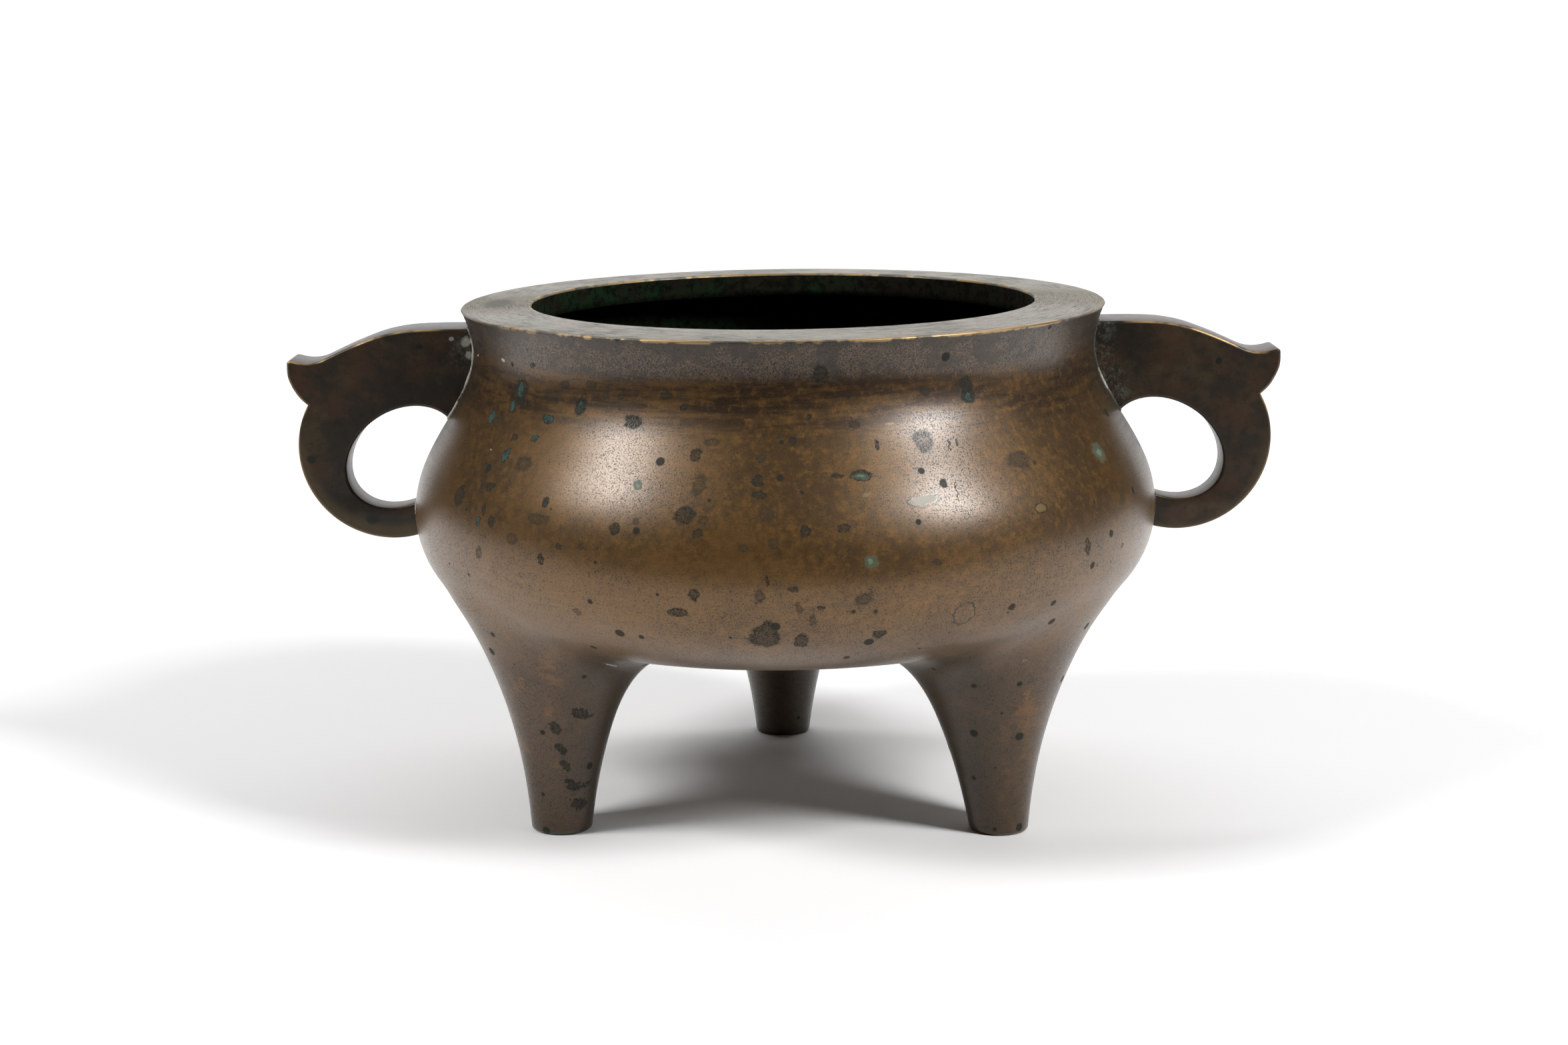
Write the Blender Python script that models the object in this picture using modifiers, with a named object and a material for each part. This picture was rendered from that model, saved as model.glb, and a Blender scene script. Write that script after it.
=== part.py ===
"""Cast bronze tripod censer with two flat fish-shaped handles.

The bowl, its lip and the three legs are one casting. Each handle is a casting of its own, soldered to
the neck and the belly. Metres, +Z up, feet on the ground at z = 0, the handles along X, the two front
legs towards -Y. The origin lies on the ground midway between the handles' tips.
"""
import bmesh
import bpy
from math import cos, hypot, pi, radians, sin, sqrt
from mathutils import Matrix, Vector

# Bowl, outside
BELLY_RADIUS = 0.0928
BELLY_HEIGHT = 0.0759
BASE_HEIGHT = 0.0462
BASE_FLATNESS = 5.7
BASE_ROUNDNESS = 1.85
NECK_RADIUS = 0.0771
SHOULDER_SWELL = 1.115
LIP_HEIGHT = 0.1272
LIP_FLARE_HEIGHT = 0.0104
LIP_FLARE = 1.54
LIP_OVERHANG = 0.0029
LIP_EDGE_ROUNDING = 0.0006
NECK_HEIGHT = LIP_HEIGHT - LIP_FLARE_HEIGHT
LIP_RADIUS = NECK_RADIUS + LIP_OVERHANG

# Bowl, inside
LIP_WIDTH = 0.0174
MOUTH_RADIUS = LIP_RADIUS - LIP_WIDTH
MOUTH_RISE = 0.0005
LIP_DEPTH = 0.0055
WALL = 0.0050
FLOOR = 0.0060

# The casting stands a little crooked: bowl and handles lean to the left on upright legs
BOWL_LEAN = 0.0125
BOWL_LEAN_HEIGHT = 0.0950
BOWL_OFFSET = 0.0002

# Legs: direction from the middle, share of the foot's radius, taper, share of the flare, inward lean
FOOT_RADIUS = 0.0073
LEG_FLARE = 0.0055
FEET_INSET = 0.0305
FEET_CIRCLE_RADIUS = BELLY_RADIUS - FEET_INSET
FEET_CIRCLE_OFFSET = -0.0006
FEET_TURN = -0.4
LEGS = (
    (210, 1.02, 0.095, 0.97, 0.024),
    (330, 0.99, 0.133, 1.02, 0.072),
    (90, 1.00, 0.114, 1.00, 0.048),
)
LEG_FLARE_HEIGHT = 0.0384
LEG_FLARE_POWER = 2.24
LEG_FADE = 0.0101
LEG_FADE_HEIGHT = BASE_HEIGHT + LEG_FADE
LEG_FADE_DEPTH = 0.0200
LEG_ROOT = 0.0215
LEG_TOP = BASE_HEIGHT + LEG_ROOT
FOOT_EDGE_ROUNDING = 0.0009
LEG_FILLET = 0.0189
LEAST_FILLET = 0.0024
EASED_ABOVE = 0.0200
EASED_REACH = 0.0100

# Handles: a flat fish, its tail curled into a ring for one finger
RING_RADIUS = 0.0231
RING_CLEARANCE = 0.0057
RING_CENTRE_X = BELLY_RADIUS + RING_CLEARANCE
RING_DROP = 0.0352
RING_CENTRE_HEIGHT = LIP_HEIGHT - RING_DROP
RING_START = 29
RING_END = -115
FINGER_HOLE_INSET = 0.0029
FINGER_HOLE_DROP = 0.0023
FINGER_HOLE_X = RING_CENTRE_X - FINGER_HOLE_INSET
FINGER_HOLE_HEIGHT = RING_CENTRE_HEIGHT - FINGER_HOLE_DROP
FINGER_HOLE_HALF_WIDTH = 0.0138
FINGER_HOLE_HALF_HEIGHT = 0.0130
FINGER_HOLE_SLANT = 0.28
HANDLE_TOP_THICKNESS = 0.0156
HANDLE_FOOT_THICKNESS = 0.0084
HANDLE_EDGE_ROUNDING = 0.0006
JOINT_GAP = 0.0003

# The fish's back and snout around the ring's centre, in shares of the ring's radius
FISH_BACK_SHARE = 1.30
FISH_BACK = ((-0.80, FISH_BACK_SHARE), (-0.50, FISH_BACK_SHARE), (-0.195, 1.285), (0.065, 1.235),
             (0.325, 1.143), (0.54, 1.05), (0.715, 0.97), (0.835, 0.945), (0.94, 0.952), (1.035, 0.974))
FISH_SNOUT = ((1.078, 0.935), (1.074, 0.80), (1.03, 0.68), (0.96, 0.567))

# Fineness of the faceted surfaces
BOWL_SIDES = 64
LEG_SIDES = 24
BASE_STEPS = 13
SHOULDER_STEPS = 9
LIP_STEPS = 3
INSIDE_BASE_STEPS = 8
INSIDE_SHOULDER_STEPS = 6
LEG_STEPS = 12
FILLET_FACET = 0.0055
RING_STEPS = 26
HOLE_STEPS = 32


def clear_scene():
    for item in list(bpy.data.objects):
        bpy.data.objects.remove(item, do_unlink=True)


def new_collection(name):
    collection = bpy.data.collections.new(name)
    bpy.context.scene.collection.children.link(collection)
    return collection


def bronze(name, colour, roughness):
    material = bpy.data.materials.new(name)
    material.use_nodes = True
    shader = material.node_tree.nodes["Principled BSDF"]
    shader.inputs["Base Color"].default_value = (*colour, 1.0)
    shader.inputs["Roughness"].default_value = roughness
    shader.inputs["Metallic"].default_value = 1.0
    return material


def base_profile(belly_radius, base_height, steps):
    """Radius and height from the belly down to the middle of the base."""
    depth = BELLY_HEIGHT - base_height
    points = []
    for step in range(steps + 1):
        turn = (pi / 2) * (1 - step / steps)
        radius = belly_radius * sin(turn) ** (2 / BASE_FLATNESS)
        points.append((radius, BELLY_HEIGHT - depth * max(cos(turn), 0.0) ** (2 / BASE_ROUNDNESS)))
    inner_radius = points[-2][0]
    inner_height = points[-2][1]
    middle = [(inner_radius * share, base_height + (inner_height - base_height) * share ** 2)
              for share in (0.8, 0.55, 0.3)]
    return points[:-1] + middle + [(0.0, base_height)]


def shoulder_radius(height, belly_radius, neck_radius):
    """Radius of the wall between the belly and the neck."""
    share = (height - BELLY_HEIGHT) / (NECK_HEIGHT - BELLY_HEIGHT)
    return neck_radius + (belly_radius - neck_radius) * (1 + cos(pi * share ** SHOULDER_SWELL)) / 2


def shoulder_profile(belly_radius, neck_radius, steps):
    """Radius and height from the neck down to just above the belly."""
    rise = (NECK_HEIGHT - BELLY_HEIGHT) / steps
    heights = [NECK_HEIGHT - rise * step for step in range(steps)]
    return [(shoulder_radius(height, belly_radius, neck_radius), height) for height in heights]


def lip_radius(height):
    share = (height - NECK_HEIGHT) / (LIP_HEIGHT - NECK_HEIGHT)
    return NECK_RADIUS + (LIP_RADIUS - NECK_RADIUS) * share ** LIP_FLARE


def lip_profile():
    """Radius and height from the mouth over the lip and down to just above the neck."""
    points = [(MOUTH_RADIUS, LIP_HEIGHT + MOUTH_RISE)]
    points.append((LIP_RADIUS - LIP_EDGE_ROUNDING, LIP_HEIGHT))
    drop = (LIP_HEIGHT - LIP_EDGE_ROUNDING - NECK_HEIGHT) / LIP_STEPS
    heights = [LIP_HEIGHT - LIP_EDGE_ROUNDING - drop * step for step in range(LIP_STEPS)]
    return points + [(lip_radius(height), height) for height in heights]


def outer_profile():
    """The bowl's whole outside, from the middle of the mouth's plane down to the base."""
    top = [(0.0, LIP_HEIGHT + MOUTH_RISE)]
    shoulder = shoulder_profile(BELLY_RADIUS, NECK_RADIUS, SHOULDER_STEPS)
    return top + lip_profile() + shoulder + base_profile(BELLY_RADIUS, BASE_HEIGHT, BASE_STEPS)


def cavity_profile():
    """The bowl's inside, from above the mouth, under the lip and down to the floor."""
    above = LIP_HEIGHT + 4 * LIP_DEPTH
    under_lip = LIP_HEIGHT - LIP_DEPTH
    inner_neck = NECK_RADIUS - WALL
    points = [(0.0, above), (MOUTH_RADIUS, above), (MOUTH_RADIUS, under_lip)]
    hollow_drop = under_lip - NECK_HEIGHT
    for share in (0.35, 0.75):
        height = under_lip - hollow_drop * share ** 2
        points.append((MOUTH_RADIUS + (inner_neck - MOUTH_RADIUS) * share, height))
    points += shoulder_profile(BELLY_RADIUS - WALL, inner_neck, INSIDE_SHOULDER_STEPS)
    return points + base_profile(BELLY_RADIUS - WALL, BASE_HEIGHT + FLOOR, INSIDE_BASE_STEPS)


def grown_profile(points, gap):
    """A profile moved outwards by a gap, square to its own run."""
    grown = []
    last = len(points) - 1
    for index, (radius, height) in enumerate(points):
        before = points[max(index - 1, 0)]
        after = points[min(index + 1, last)]
        run = hypot(after[0] - before[0], after[1] - before[1])
        out = -(after[1] - before[1]) / run
        up = (after[0] - before[0]) / run
        if radius == 0.0:
            grown.append((0.0, height + gap * (1 if index == 0 else -1)))
        else:
            grown.append((radius + gap * out, height + gap * up))
    return grown


def turned(name, profile, sides, collection):
    """A solid turned about its Z axis from a profile that runs from its top to its bottom."""
    mesh = bpy.data.meshes.new(name)
    vertices = [(radius, 0.0, height) for radius, height in profile]
    mesh.from_pydata(vertices, [(k, k + 1) for k in range(len(vertices) - 1)], [])
    item = bpy.data.objects.new(name, mesh)
    collection.objects.link(item)
    screw = item.modifiers.new("turn", "SCREW")
    screw.axis = "Z"
    screw.angle = 2 * pi
    screw.steps = sides
    screw.render_steps = sides
    screw.use_merge_vertices = True
    screw.merge_threshold = 0.00001
    return item


def baked(item):
    """The item with its modifiers worked into its mesh."""
    bpy.context.view_layer.update()
    evaluated = item.evaluated_get(bpy.context.evaluated_depsgraph_get())
    mesh = bpy.data.meshes.new_from_object(evaluated)
    item.modifiers.clear()
    item.data = mesh
    return item


def as_cutter(item):
    item.hide_render = True
    item.display_type = "WIRE"
    return item


def boolean(item, other, operation):
    """All forms are closed, and the exact solver loses the handles at some other sizes."""
    modifier = item.modifiers.new(operation.lower(), "BOOLEAN")
    modifier.operation = operation
    modifier.object = other
    modifier.solver = "MANIFOLD"


def leaning_frame():
    """Where the bowl's own axis stands, with its lean."""
    pivot = Vector((BOWL_OFFSET, 0.0, BOWL_LEAN_HEIGHT))
    return Matrix.Translation(pivot) @ Matrix.Rotation(-BOWL_LEAN, 4, "Y") @ Matrix.Translation(
        Vector((0.0, 0.0, -BOWL_LEAN_HEIGHT)))


def leg_radius(height, foot_share, taper, flare_share):
    flare = LEG_FLARE * (height / LEG_FLARE_HEIGHT) ** LEG_FLARE_POWER
    return FOOT_RADIUS * foot_share + taper * height + flare * flare_share


def leg_fade(height):
    """How far a leg's side draws back where it dies into the belly."""
    return max(height - LEG_FADE_HEIGHT, 0.0) ** 2 / LEG_FADE_DEPTH


def leg_centre(height, azimuth, inward_lean):
    """Middle of a leg at a height: it stands on the feet's circle and leans in as it rises."""
    reach = FEET_CIRCLE_RADIUS - inward_lean * height
    angle = radians(azimuth + FEET_TURN)
    return Vector((FEET_CIRCLE_OFFSET + reach * cos(angle), reach * sin(angle), height))


def make_leg(index, azimuth, foot_share, taper, flare_share, inward_lean, collection):
    """One leg with a flat underside, up into the bowl's wall."""
    heights = [LEG_TOP * (1 - step / LEG_STEPS) for step in range(LEG_STEPS)]
    foot_radius = FOOT_RADIUS * foot_share
    profile = [(0.0, LEG_TOP)]
    for height in heights:
        profile.append((leg_radius(height, foot_share, taper, flare_share) - leg_fade(height), height))
    profile.append((foot_radius, FOOT_EDGE_ROUNDING))
    profile.append((foot_radius - FOOT_EDGE_ROUNDING, 0.0))
    profile.append((0.0, 0.0))
    leg = baked(turned(f"leg_form_{index}", profile, LEG_SIDES, collection))
    for vertex in leg.data.vertices:
        vertex.co += leg_centre(vertex.co.z, azimuth, inward_lean) * Vector((1, 1, 0))
    return as_cutter(leg)


def bowl_surface(point, frame):
    """Distance of a point below the belly from the bowl's outside, and the way out."""
    local = frame.inverted() @ point
    radius = max(hypot(local.x, local.y), 1e-6)
    depth = BELLY_HEIGHT - BASE_HEIGHT
    across = radius / BELLY_RADIUS
    down = max((BELLY_HEIGHT - local.z) / depth, 1e-6)
    level = across ** BASE_FLATNESS + down ** BASE_ROUNDNESS - 1
    slope_out = BASE_FLATNESS * across ** (BASE_FLATNESS - 1) / BELLY_RADIUS
    slope_down = BASE_ROUNDNESS * down ** (BASE_ROUNDNESS - 1) / depth
    steepness = hypot(slope_out, slope_down)
    way = Vector((slope_out * local.x / radius, slope_out * local.y / radius, -slope_down)) / steepness
    return level / steepness, frame.to_3x3() @ way


def leg_surface(point, azimuth, foot_share, taper, flare_share, inward_lean):
    """Distance of a point from a leg's side, and the way out."""
    centre = leg_centre(point.z, azimuth, inward_lean)
    offset = point - centre
    radius = max(hypot(offset.x, offset.y), 1e-6)
    share = max(point.z, 1e-6) / LEG_FLARE_HEIGHT
    flare = LEG_FLARE * flare_share
    growth = taper + flare * LEG_FLARE_POWER / LEG_FLARE_HEIGHT * share ** (LEG_FLARE_POWER - 1)
    steepness = sqrt(1 + growth ** 2)
    gap = (radius - leg_radius(point.z, foot_share, taper, flare_share)) / steepness + leg_fade(point.z)
    return gap, Vector((offset.x / radius, offset.y / radius, -growth)) / steepness


def eased_surface(point, frame):
    """Distance from bowl and legs together, with a fillet where they meet at an angle."""
    gap, way = bowl_surface(point, frame)
    for leg in LEGS:
        leg_gap, leg_way = leg_surface(point, *leg)
        reach = LEG_FILLET * (1 - way.dot(leg_way)) + LEAST_FILLET
        share = min(max(0.5 + 0.5 * (leg_gap - gap) / reach, 0.0), 1.0)
        gap = leg_gap * (1 - share) + gap * share - reach * share * (1 - share)
        way = leg_way.lerp(way, share).normalized()
    return gap, way


def on_fillet(point, frame):
    """The nearest point of the eased surface."""
    for _ in range(8):
        gap, way = eased_surface(point, frame)
        point = point - way * gap
    return point


def near_junction(point, frame):
    if not EASED_ABOVE < point.z < LEG_TOP:
        return False
    near_leg = any(abs(leg_surface(point, *leg)[0]) < EASED_REACH for leg in LEGS)
    return near_leg and abs(bowl_surface(point, frame)[0]) < EASED_REACH


def ease_junctions(item, frame):
    """Even facets where legs and bowl meet, moved out to the fillet between them."""
    place = item.matrix_world
    back = place.inverted()
    work = bmesh.new()
    work.from_mesh(item.data)
    bmesh.ops.triangulate(work, faces=work.faces[:])
    for _ in range(2):
        near = {vertex for vertex in work.verts if near_junction(place @ vertex.co, frame)}
        long = [edge for edge in work.edges if edge.calc_length() > 1.5 * FILLET_FACET
                and edge.verts[0] in near and edge.verts[1] in near]
        bmesh.ops.subdivide_edges(work, edges=long, cuts=1)
        bmesh.ops.triangulate(work, faces=work.faces[:])
    for _ in range(6):
        near = [vertex for vertex in work.verts if near_junction(place @ vertex.co, frame)]
        faces = list({face for vertex in near for face in vertex.link_faces})
        edges = list({edge for face in faces for edge in face.edges})
        bmesh.ops.beautify_fill(work, faces=faces, edges=edges)
        bmesh.ops.smooth_vert(work, verts=near, factor=0.5, use_axis_x=True, use_axis_y=True, use_axis_z=True)
        for vertex in work.verts:
            point = place @ vertex.co
            if EASED_ABOVE < point.z < LEG_TOP:
                vertex.co = back @ on_fillet(point, frame)
    work.to_mesh(item.data)
    work.free()


def make_body(parts, cutters, frame, material):
    """Bowl and legs as one casting, hollowed from the mouth."""
    body = turned("censer_body", outer_profile(), BOWL_SIDES, parts)
    body.matrix_world = frame
    for index, leg in enumerate(LEGS):
        boolean(body, make_leg(index, *leg, cutters), "UNION")
    baked(body)
    ease_junctions(body, frame)
    cavity = as_cutter(turned("cavity_form", cavity_profile(), BOWL_SIDES, cutters))
    cavity.matrix_world = frame
    boolean(body, cavity, "DIFFERENCE")
    body.data.materials.clear()
    body.data.materials.append(material)
    return body


def fish_outline():
    """The fish's back, snout and jaw, then the round of its tail, clockwise from inside the bowl."""
    centre = Vector((RING_CENTRE_X, RING_CENTRE_HEIGHT))
    inside = NECK_RADIUS - 2 * WALL
    back_height = RING_CENTRE_HEIGHT + FISH_BACK_SHARE * RING_RADIUS
    fish = [tuple(centre + RING_RADIUS * Vector(share)) for share in FISH_BACK + FISH_SNOUT]
    ring = []
    for step in range(RING_STEPS + 1):
        angle = radians(RING_START + (RING_END - RING_START) * step / RING_STEPS)
        ring.append(tuple(centre + RING_RADIUS * Vector((cos(angle), sin(angle)))))
    return [(inside, back_height)] + fish + ring + [(inside, ring[-1][1])]


def finger_hole():
    """A slanted oval that opens towards the bowl, anticlockwise."""
    points = []
    for step in range(HOLE_STEPS):
        angle = 2 * pi * step / HOLE_STEPS
        lift = FINGER_HOLE_HALF_HEIGHT * sin(angle)
        across = FINGER_HOLE_HALF_WIDTH * cos(angle) - FINGER_HOLE_SLANT * lift
        points.append((FINGER_HOLE_X + across, FINGER_HOLE_HEIGHT + lift))
    return points


def add_outline(curve, points, side):
    spline = curve.splines.new("POLY")
    spline.points.add(len(points) - 1)
    for target, (reach, height) in zip(spline.points, points):
        target.co = (side * reach, height, 0.0, 1.0)
    spline.use_cyclic_u = True


def make_handle(name, side, parts, bowl_form, frame, material):
    """A flat casting, thicker along the fish's back, cut to the bowl's outside."""
    curve = bpy.data.curves.new(name + "_outline", "CURVE")
    curve.dimensions = "2D"
    curve.fill_mode = "BOTH"
    curve.extrude = HANDLE_TOP_THICKNESS / 2
    add_outline(curve, fish_outline(), side)
    add_outline(curve, finger_hole(), side)
    outline = bpy.data.objects.new(name + "_outline", curve)
    outline.rotation_euler = (pi / 2, 0.0, 0.0)
    parts.objects.link(outline)
    bpy.context.view_layer.update()
    evaluated = outline.evaluated_get(bpy.context.evaluated_depsgraph_get())
    mesh = bpy.data.meshes.new_from_object(evaluated)
    mesh.transform(outline.matrix_world)
    bpy.data.objects.remove(outline, do_unlink=True)

    work = bmesh.new()
    work.from_mesh(mesh)
    bmesh.ops.remove_doubles(work, verts=work.verts[:], dist=0.00001)
    bmesh.ops.recalc_face_normals(work, faces=work.faces[:])
    rims = [edge for edge in work.edges if edge.calc_face_angle(0.0) > radians(80)
            and abs(edge.verts[0].co.y - edge.verts[1].co.y) < 0.00001]
    bmesh.ops.bevel(work, geom=rims, offset=HANDLE_EDGE_ROUNDING, segments=1, affect="EDGES")
    foot = RING_CENTRE_HEIGHT - RING_RADIUS
    height = (1 + FISH_BACK_SHARE) * RING_RADIUS
    for vertex in work.verts:
        share = (vertex.co.z - foot) / height
        thickness = HANDLE_FOOT_THICKNESS + (HANDLE_TOP_THICKNESS - HANDLE_FOOT_THICKNESS) * share
        vertex.co.y *= thickness / HANDLE_TOP_THICKNESS
    work.to_mesh(mesh)
    work.free()

    handle = bpy.data.objects.new(name, mesh)
    handle.matrix_world = frame
    parts.objects.link(handle)
    boolean(handle, bowl_form, "DIFFERENCE")
    mesh.materials.clear()
    mesh.materials.append(material)
    return handle


def shade(item, angle):
    item.data.shade_smooth()
    item.data.set_sharp_from_angle(angle=radians(angle))


clear_scene()
censer = new_collection("tripod_censer")
forms = new_collection("cutters")
warm_bronze = bronze("warm_bronze", (0.20, 0.12, 0.06), 0.42)
dark_bronze = bronze("dark_bronze", (0.07, 0.045, 0.03), 0.48)
bowl_frame = leaning_frame()
shade(make_body(censer, forms, bowl_frame, warm_bronze), 40)
joint_form = as_cutter(turned("joint_form", grown_profile(outer_profile(), JOINT_GAP), BOWL_SIDES, forms))
joint_form.matrix_world = bowl_frame
for handle_name, direction in (("handle_left", -1), ("handle_right", 1)):
    shade(make_handle(handle_name, direction, censer, joint_form, bowl_frame, dark_bronze), 40)
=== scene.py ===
"""A cast bronze tripod censer with two flat fish-shaped handles, on a pale studio floor.

Metres, +Z up, the front legs towards -Y, the handles along X.
"""
from math import cos, inf, pi, radians, sin

import bmesh
import bpy
import numpy as np
from mathutils import Matrix, Vector


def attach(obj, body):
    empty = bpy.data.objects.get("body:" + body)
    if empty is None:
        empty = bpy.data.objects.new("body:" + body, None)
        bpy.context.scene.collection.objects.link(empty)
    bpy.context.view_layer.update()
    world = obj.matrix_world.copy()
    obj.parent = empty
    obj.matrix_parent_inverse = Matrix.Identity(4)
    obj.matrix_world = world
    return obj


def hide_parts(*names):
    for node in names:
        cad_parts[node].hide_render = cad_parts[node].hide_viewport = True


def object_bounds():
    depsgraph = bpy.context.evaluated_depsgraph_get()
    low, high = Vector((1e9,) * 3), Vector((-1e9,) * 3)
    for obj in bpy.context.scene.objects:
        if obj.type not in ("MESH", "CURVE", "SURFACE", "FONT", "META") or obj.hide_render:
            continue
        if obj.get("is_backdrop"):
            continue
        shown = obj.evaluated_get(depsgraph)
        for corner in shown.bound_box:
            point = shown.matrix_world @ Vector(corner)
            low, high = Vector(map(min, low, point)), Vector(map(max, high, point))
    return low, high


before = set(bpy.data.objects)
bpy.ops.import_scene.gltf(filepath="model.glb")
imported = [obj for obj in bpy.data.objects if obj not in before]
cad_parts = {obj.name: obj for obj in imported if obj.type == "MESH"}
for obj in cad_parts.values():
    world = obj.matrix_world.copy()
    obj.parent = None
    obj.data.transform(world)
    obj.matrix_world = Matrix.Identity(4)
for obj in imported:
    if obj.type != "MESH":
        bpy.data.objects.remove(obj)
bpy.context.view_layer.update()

# The bowl's outside
# A heavy round belly under a waisted neck and a flaring lip, turned smooth on the mould's core. The
# whole bowl leans a little to the left on its legs.
BELLY_RADIUS = 0.0928
BELLY_HEIGHT = 0.0759
BASE_HEIGHT = 0.0462
BASE_FLATNESS = 5.7
BASE_ROUNDNESS = 1.85
NECK_RADIUS = 0.0771
NECK_HEIGHT = 0.1168
SHOULDER_SWELL = 1.115
LIP_RADIUS = 0.0800
LIP_HEIGHT = 0.1272
LIP_FLARE = 1.54
LIP_EDGE_ROUNDING = 0.0007
BOWL_LEAN = 0.0125
BOWL_LEAN_HEIGHT = 0.0950
BOWL_OFFSET = 0.0002
BOWL_SIDES = 288
SURFACE_STEP = 0.0020

lean = (Matrix.Translation(Vector((BOWL_OFFSET, 0.0, BOWL_LEAN_HEIGHT)))
        @ Matrix.Rotation(-BOWL_LEAN, 4, "Y") @ Matrix.Translation(Vector((0.0, 0.0, -BOWL_LEAN_HEIGHT))))
lean_turn = np.array(lean.to_3x3())
lean_shift = np.array(lean.translation)


def wall_radius(height):
    """The bowl's outside radius from the belly up to the lip's edge."""
    height = np.asarray(height, float)
    share = np.clip((height - BELLY_HEIGHT) / (NECK_HEIGHT - BELLY_HEIGHT), 0.0, 1.0)
    shoulder = NECK_RADIUS + (BELLY_RADIUS - NECK_RADIUS) * (1 + np.cos(pi * share ** SHOULDER_SWELL)) / 2
    flare = np.clip((height - NECK_HEIGHT) / (LIP_HEIGHT - NECK_HEIGHT), 0.0, 1.0)
    return shoulder + (LIP_RADIUS - NECK_RADIUS) * flare ** LIP_FLARE


def evened(points, spacing):
    """The same run of radius and height, with points at even distances."""
    points = np.asarray(points, float)
    run = np.concatenate([[0.0], np.cumsum(np.hypot(*np.diff(points, axis=0).T))])
    stops = np.linspace(0.0, run[-1], max(int(round(run[-1] / spacing)), 1) + 1)
    return np.column_stack([np.interp(stops, run, points[:, k]) for k in (0, 1)])


def base_profile(belly_radius, base_height):
    """Radius and height from the belly down to the middle of the underside."""
    turn = np.linspace(pi / 2, 0.0, 2000)
    radius = belly_radius * np.sin(turn) ** (2 / BASE_FLATNESS)
    height = BELLY_HEIGHT - (BELLY_HEIGHT - base_height) * np.cos(turn).clip(0) ** (2 / BASE_ROUNDNESS)
    return np.column_stack([radius, height])


wall_heights = np.linspace(LIP_HEIGHT - LIP_EDGE_ROUNDING, BELLY_HEIGHT, 400)
wall_profile = np.column_stack([wall_radius(wall_heights), wall_heights])
lower_profile = base_profile(BELLY_RADIUS, BASE_HEIGHT)
outside_profile = evened(np.vstack([wall_profile, lower_profile[1:]]), SURFACE_STEP)

# The legs
# Three solid tapering legs, cast in one with the bowl, that flare upwards and run into its underside in
# a soft fillet. Their undersides are filed flat.
# Each leg's azimuth, foot radius, taper, flare and inward lean.
LEGS = (
    (210, 0.0074, 0.095, 0.0053, 0.024),
    (330, 0.0072, 0.133, 0.0056, 0.072),
    (90, 0.0073, 0.114, 0.0055, 0.048),
)
FEET_CIRCLE_RADIUS = 0.0623
FEET_CIRCLE_OFFSET = -0.0006
FEET_TURN = -0.4
LEG_FLARE_HEIGHT = 0.0384
LEG_FLARE_POWER = 2.24
LEG_FILLET = 0.0189
LEAST_FILLET = 0.0024
LEG_FADE_HEIGHT = 0.0563
LEG_FADE_DEPTH = 0.0200
LEG_TOP = 0.0700


def leg_centre(height, azimuth, inward_lean):
    """The middle of a leg at each height."""
    reach = FEET_CIRCLE_RADIUS - inward_lean * height
    angle = radians(azimuth + FEET_TURN)
    return np.column_stack([FEET_CIRCLE_OFFSET + reach * cos(angle), reach * sin(angle)])


def leg_radius(height, foot_radius, taper, flare):
    """A leg's radius at a height."""
    return foot_radius + taper * height + flare * (height / LEG_FLARE_HEIGHT) ** LEG_FLARE_POWER


def bowl_surface(points):
    """Distances of points below the belly from the bowl's outside, and the ways out."""
    local = (points - lean_shift) @ lean_turn
    radius = np.hypot(local[:, 0], local[:, 1]).clip(1e-6)
    depth = BELLY_HEIGHT - BASE_HEIGHT
    across = radius / BELLY_RADIUS
    down = ((BELLY_HEIGHT - local[:, 2]) / depth).clip(1e-6)
    level = across ** BASE_FLATNESS + down ** BASE_ROUNDNESS - 1
    slope_out = BASE_FLATNESS * across ** (BASE_FLATNESS - 1) / BELLY_RADIUS
    slope_down = BASE_ROUNDNESS * down ** (BASE_ROUNDNESS - 1) / depth
    steepness = np.hypot(slope_out, slope_down)
    way = np.column_stack([slope_out * local[:, 0] / radius, slope_out * local[:, 1] / radius, -slope_down])
    return level / steepness, (way / steepness[:, None]) @ lean_turn.T


def leg_surface(points, azimuth, foot_radius, taper, flare, inward_lean):
    """Distances of points from a leg's side, and the ways out."""
    height = points[:, 2].clip(1e-6)
    offset = points[:, :2] - leg_centre(height, azimuth, inward_lean)
    radius = np.hypot(offset[:, 0], offset[:, 1]).clip(1e-6)
    share = height / LEG_FLARE_HEIGHT
    growth = taper + flare * LEG_FLARE_POWER / LEG_FLARE_HEIGHT * share ** (LEG_FLARE_POWER - 1)
    steepness = np.sqrt(1 + growth ** 2)
    gap = (radius - leg_radius(height, foot_radius, taper, flare)) / steepness
    gap += (height - LEG_FADE_HEIGHT).clip(0) ** 2 / LEG_FADE_DEPTH
    way = np.column_stack([offset[:, 0] / radius, offset[:, 1] / radius, -growth])
    return gap, way / steepness[:, None]


def eased_surface(points):
    """Distances from bowl and legs together, with a fillet where they meet at an angle."""
    gap, way = bowl_surface(points)
    for leg in LEGS:
        leg_gap, leg_way = leg_surface(points, *leg)
        reach = LEG_FILLET * (1 - np.sum(way * leg_way, axis=1)) + LEAST_FILLET
        share = np.clip(0.5 + 0.5 * (leg_gap - gap) / reach, 0.0, 1.0)
        gap = leg_gap * (1 - share) + gap * share - reach * share * (1 - share)
        way = leg_way * (1 - share[:, None]) + way * share[:, None]
        way /= np.linalg.norm(way, axis=1)[:, None]
    return gap, way


def on_casting(points, rounds):
    """The points moved out or in to the casting's surface."""
    for _ in range(rounds):
        gap, way = eased_surface(points)
        points = points - way * gap[:, None]
    return points


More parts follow.
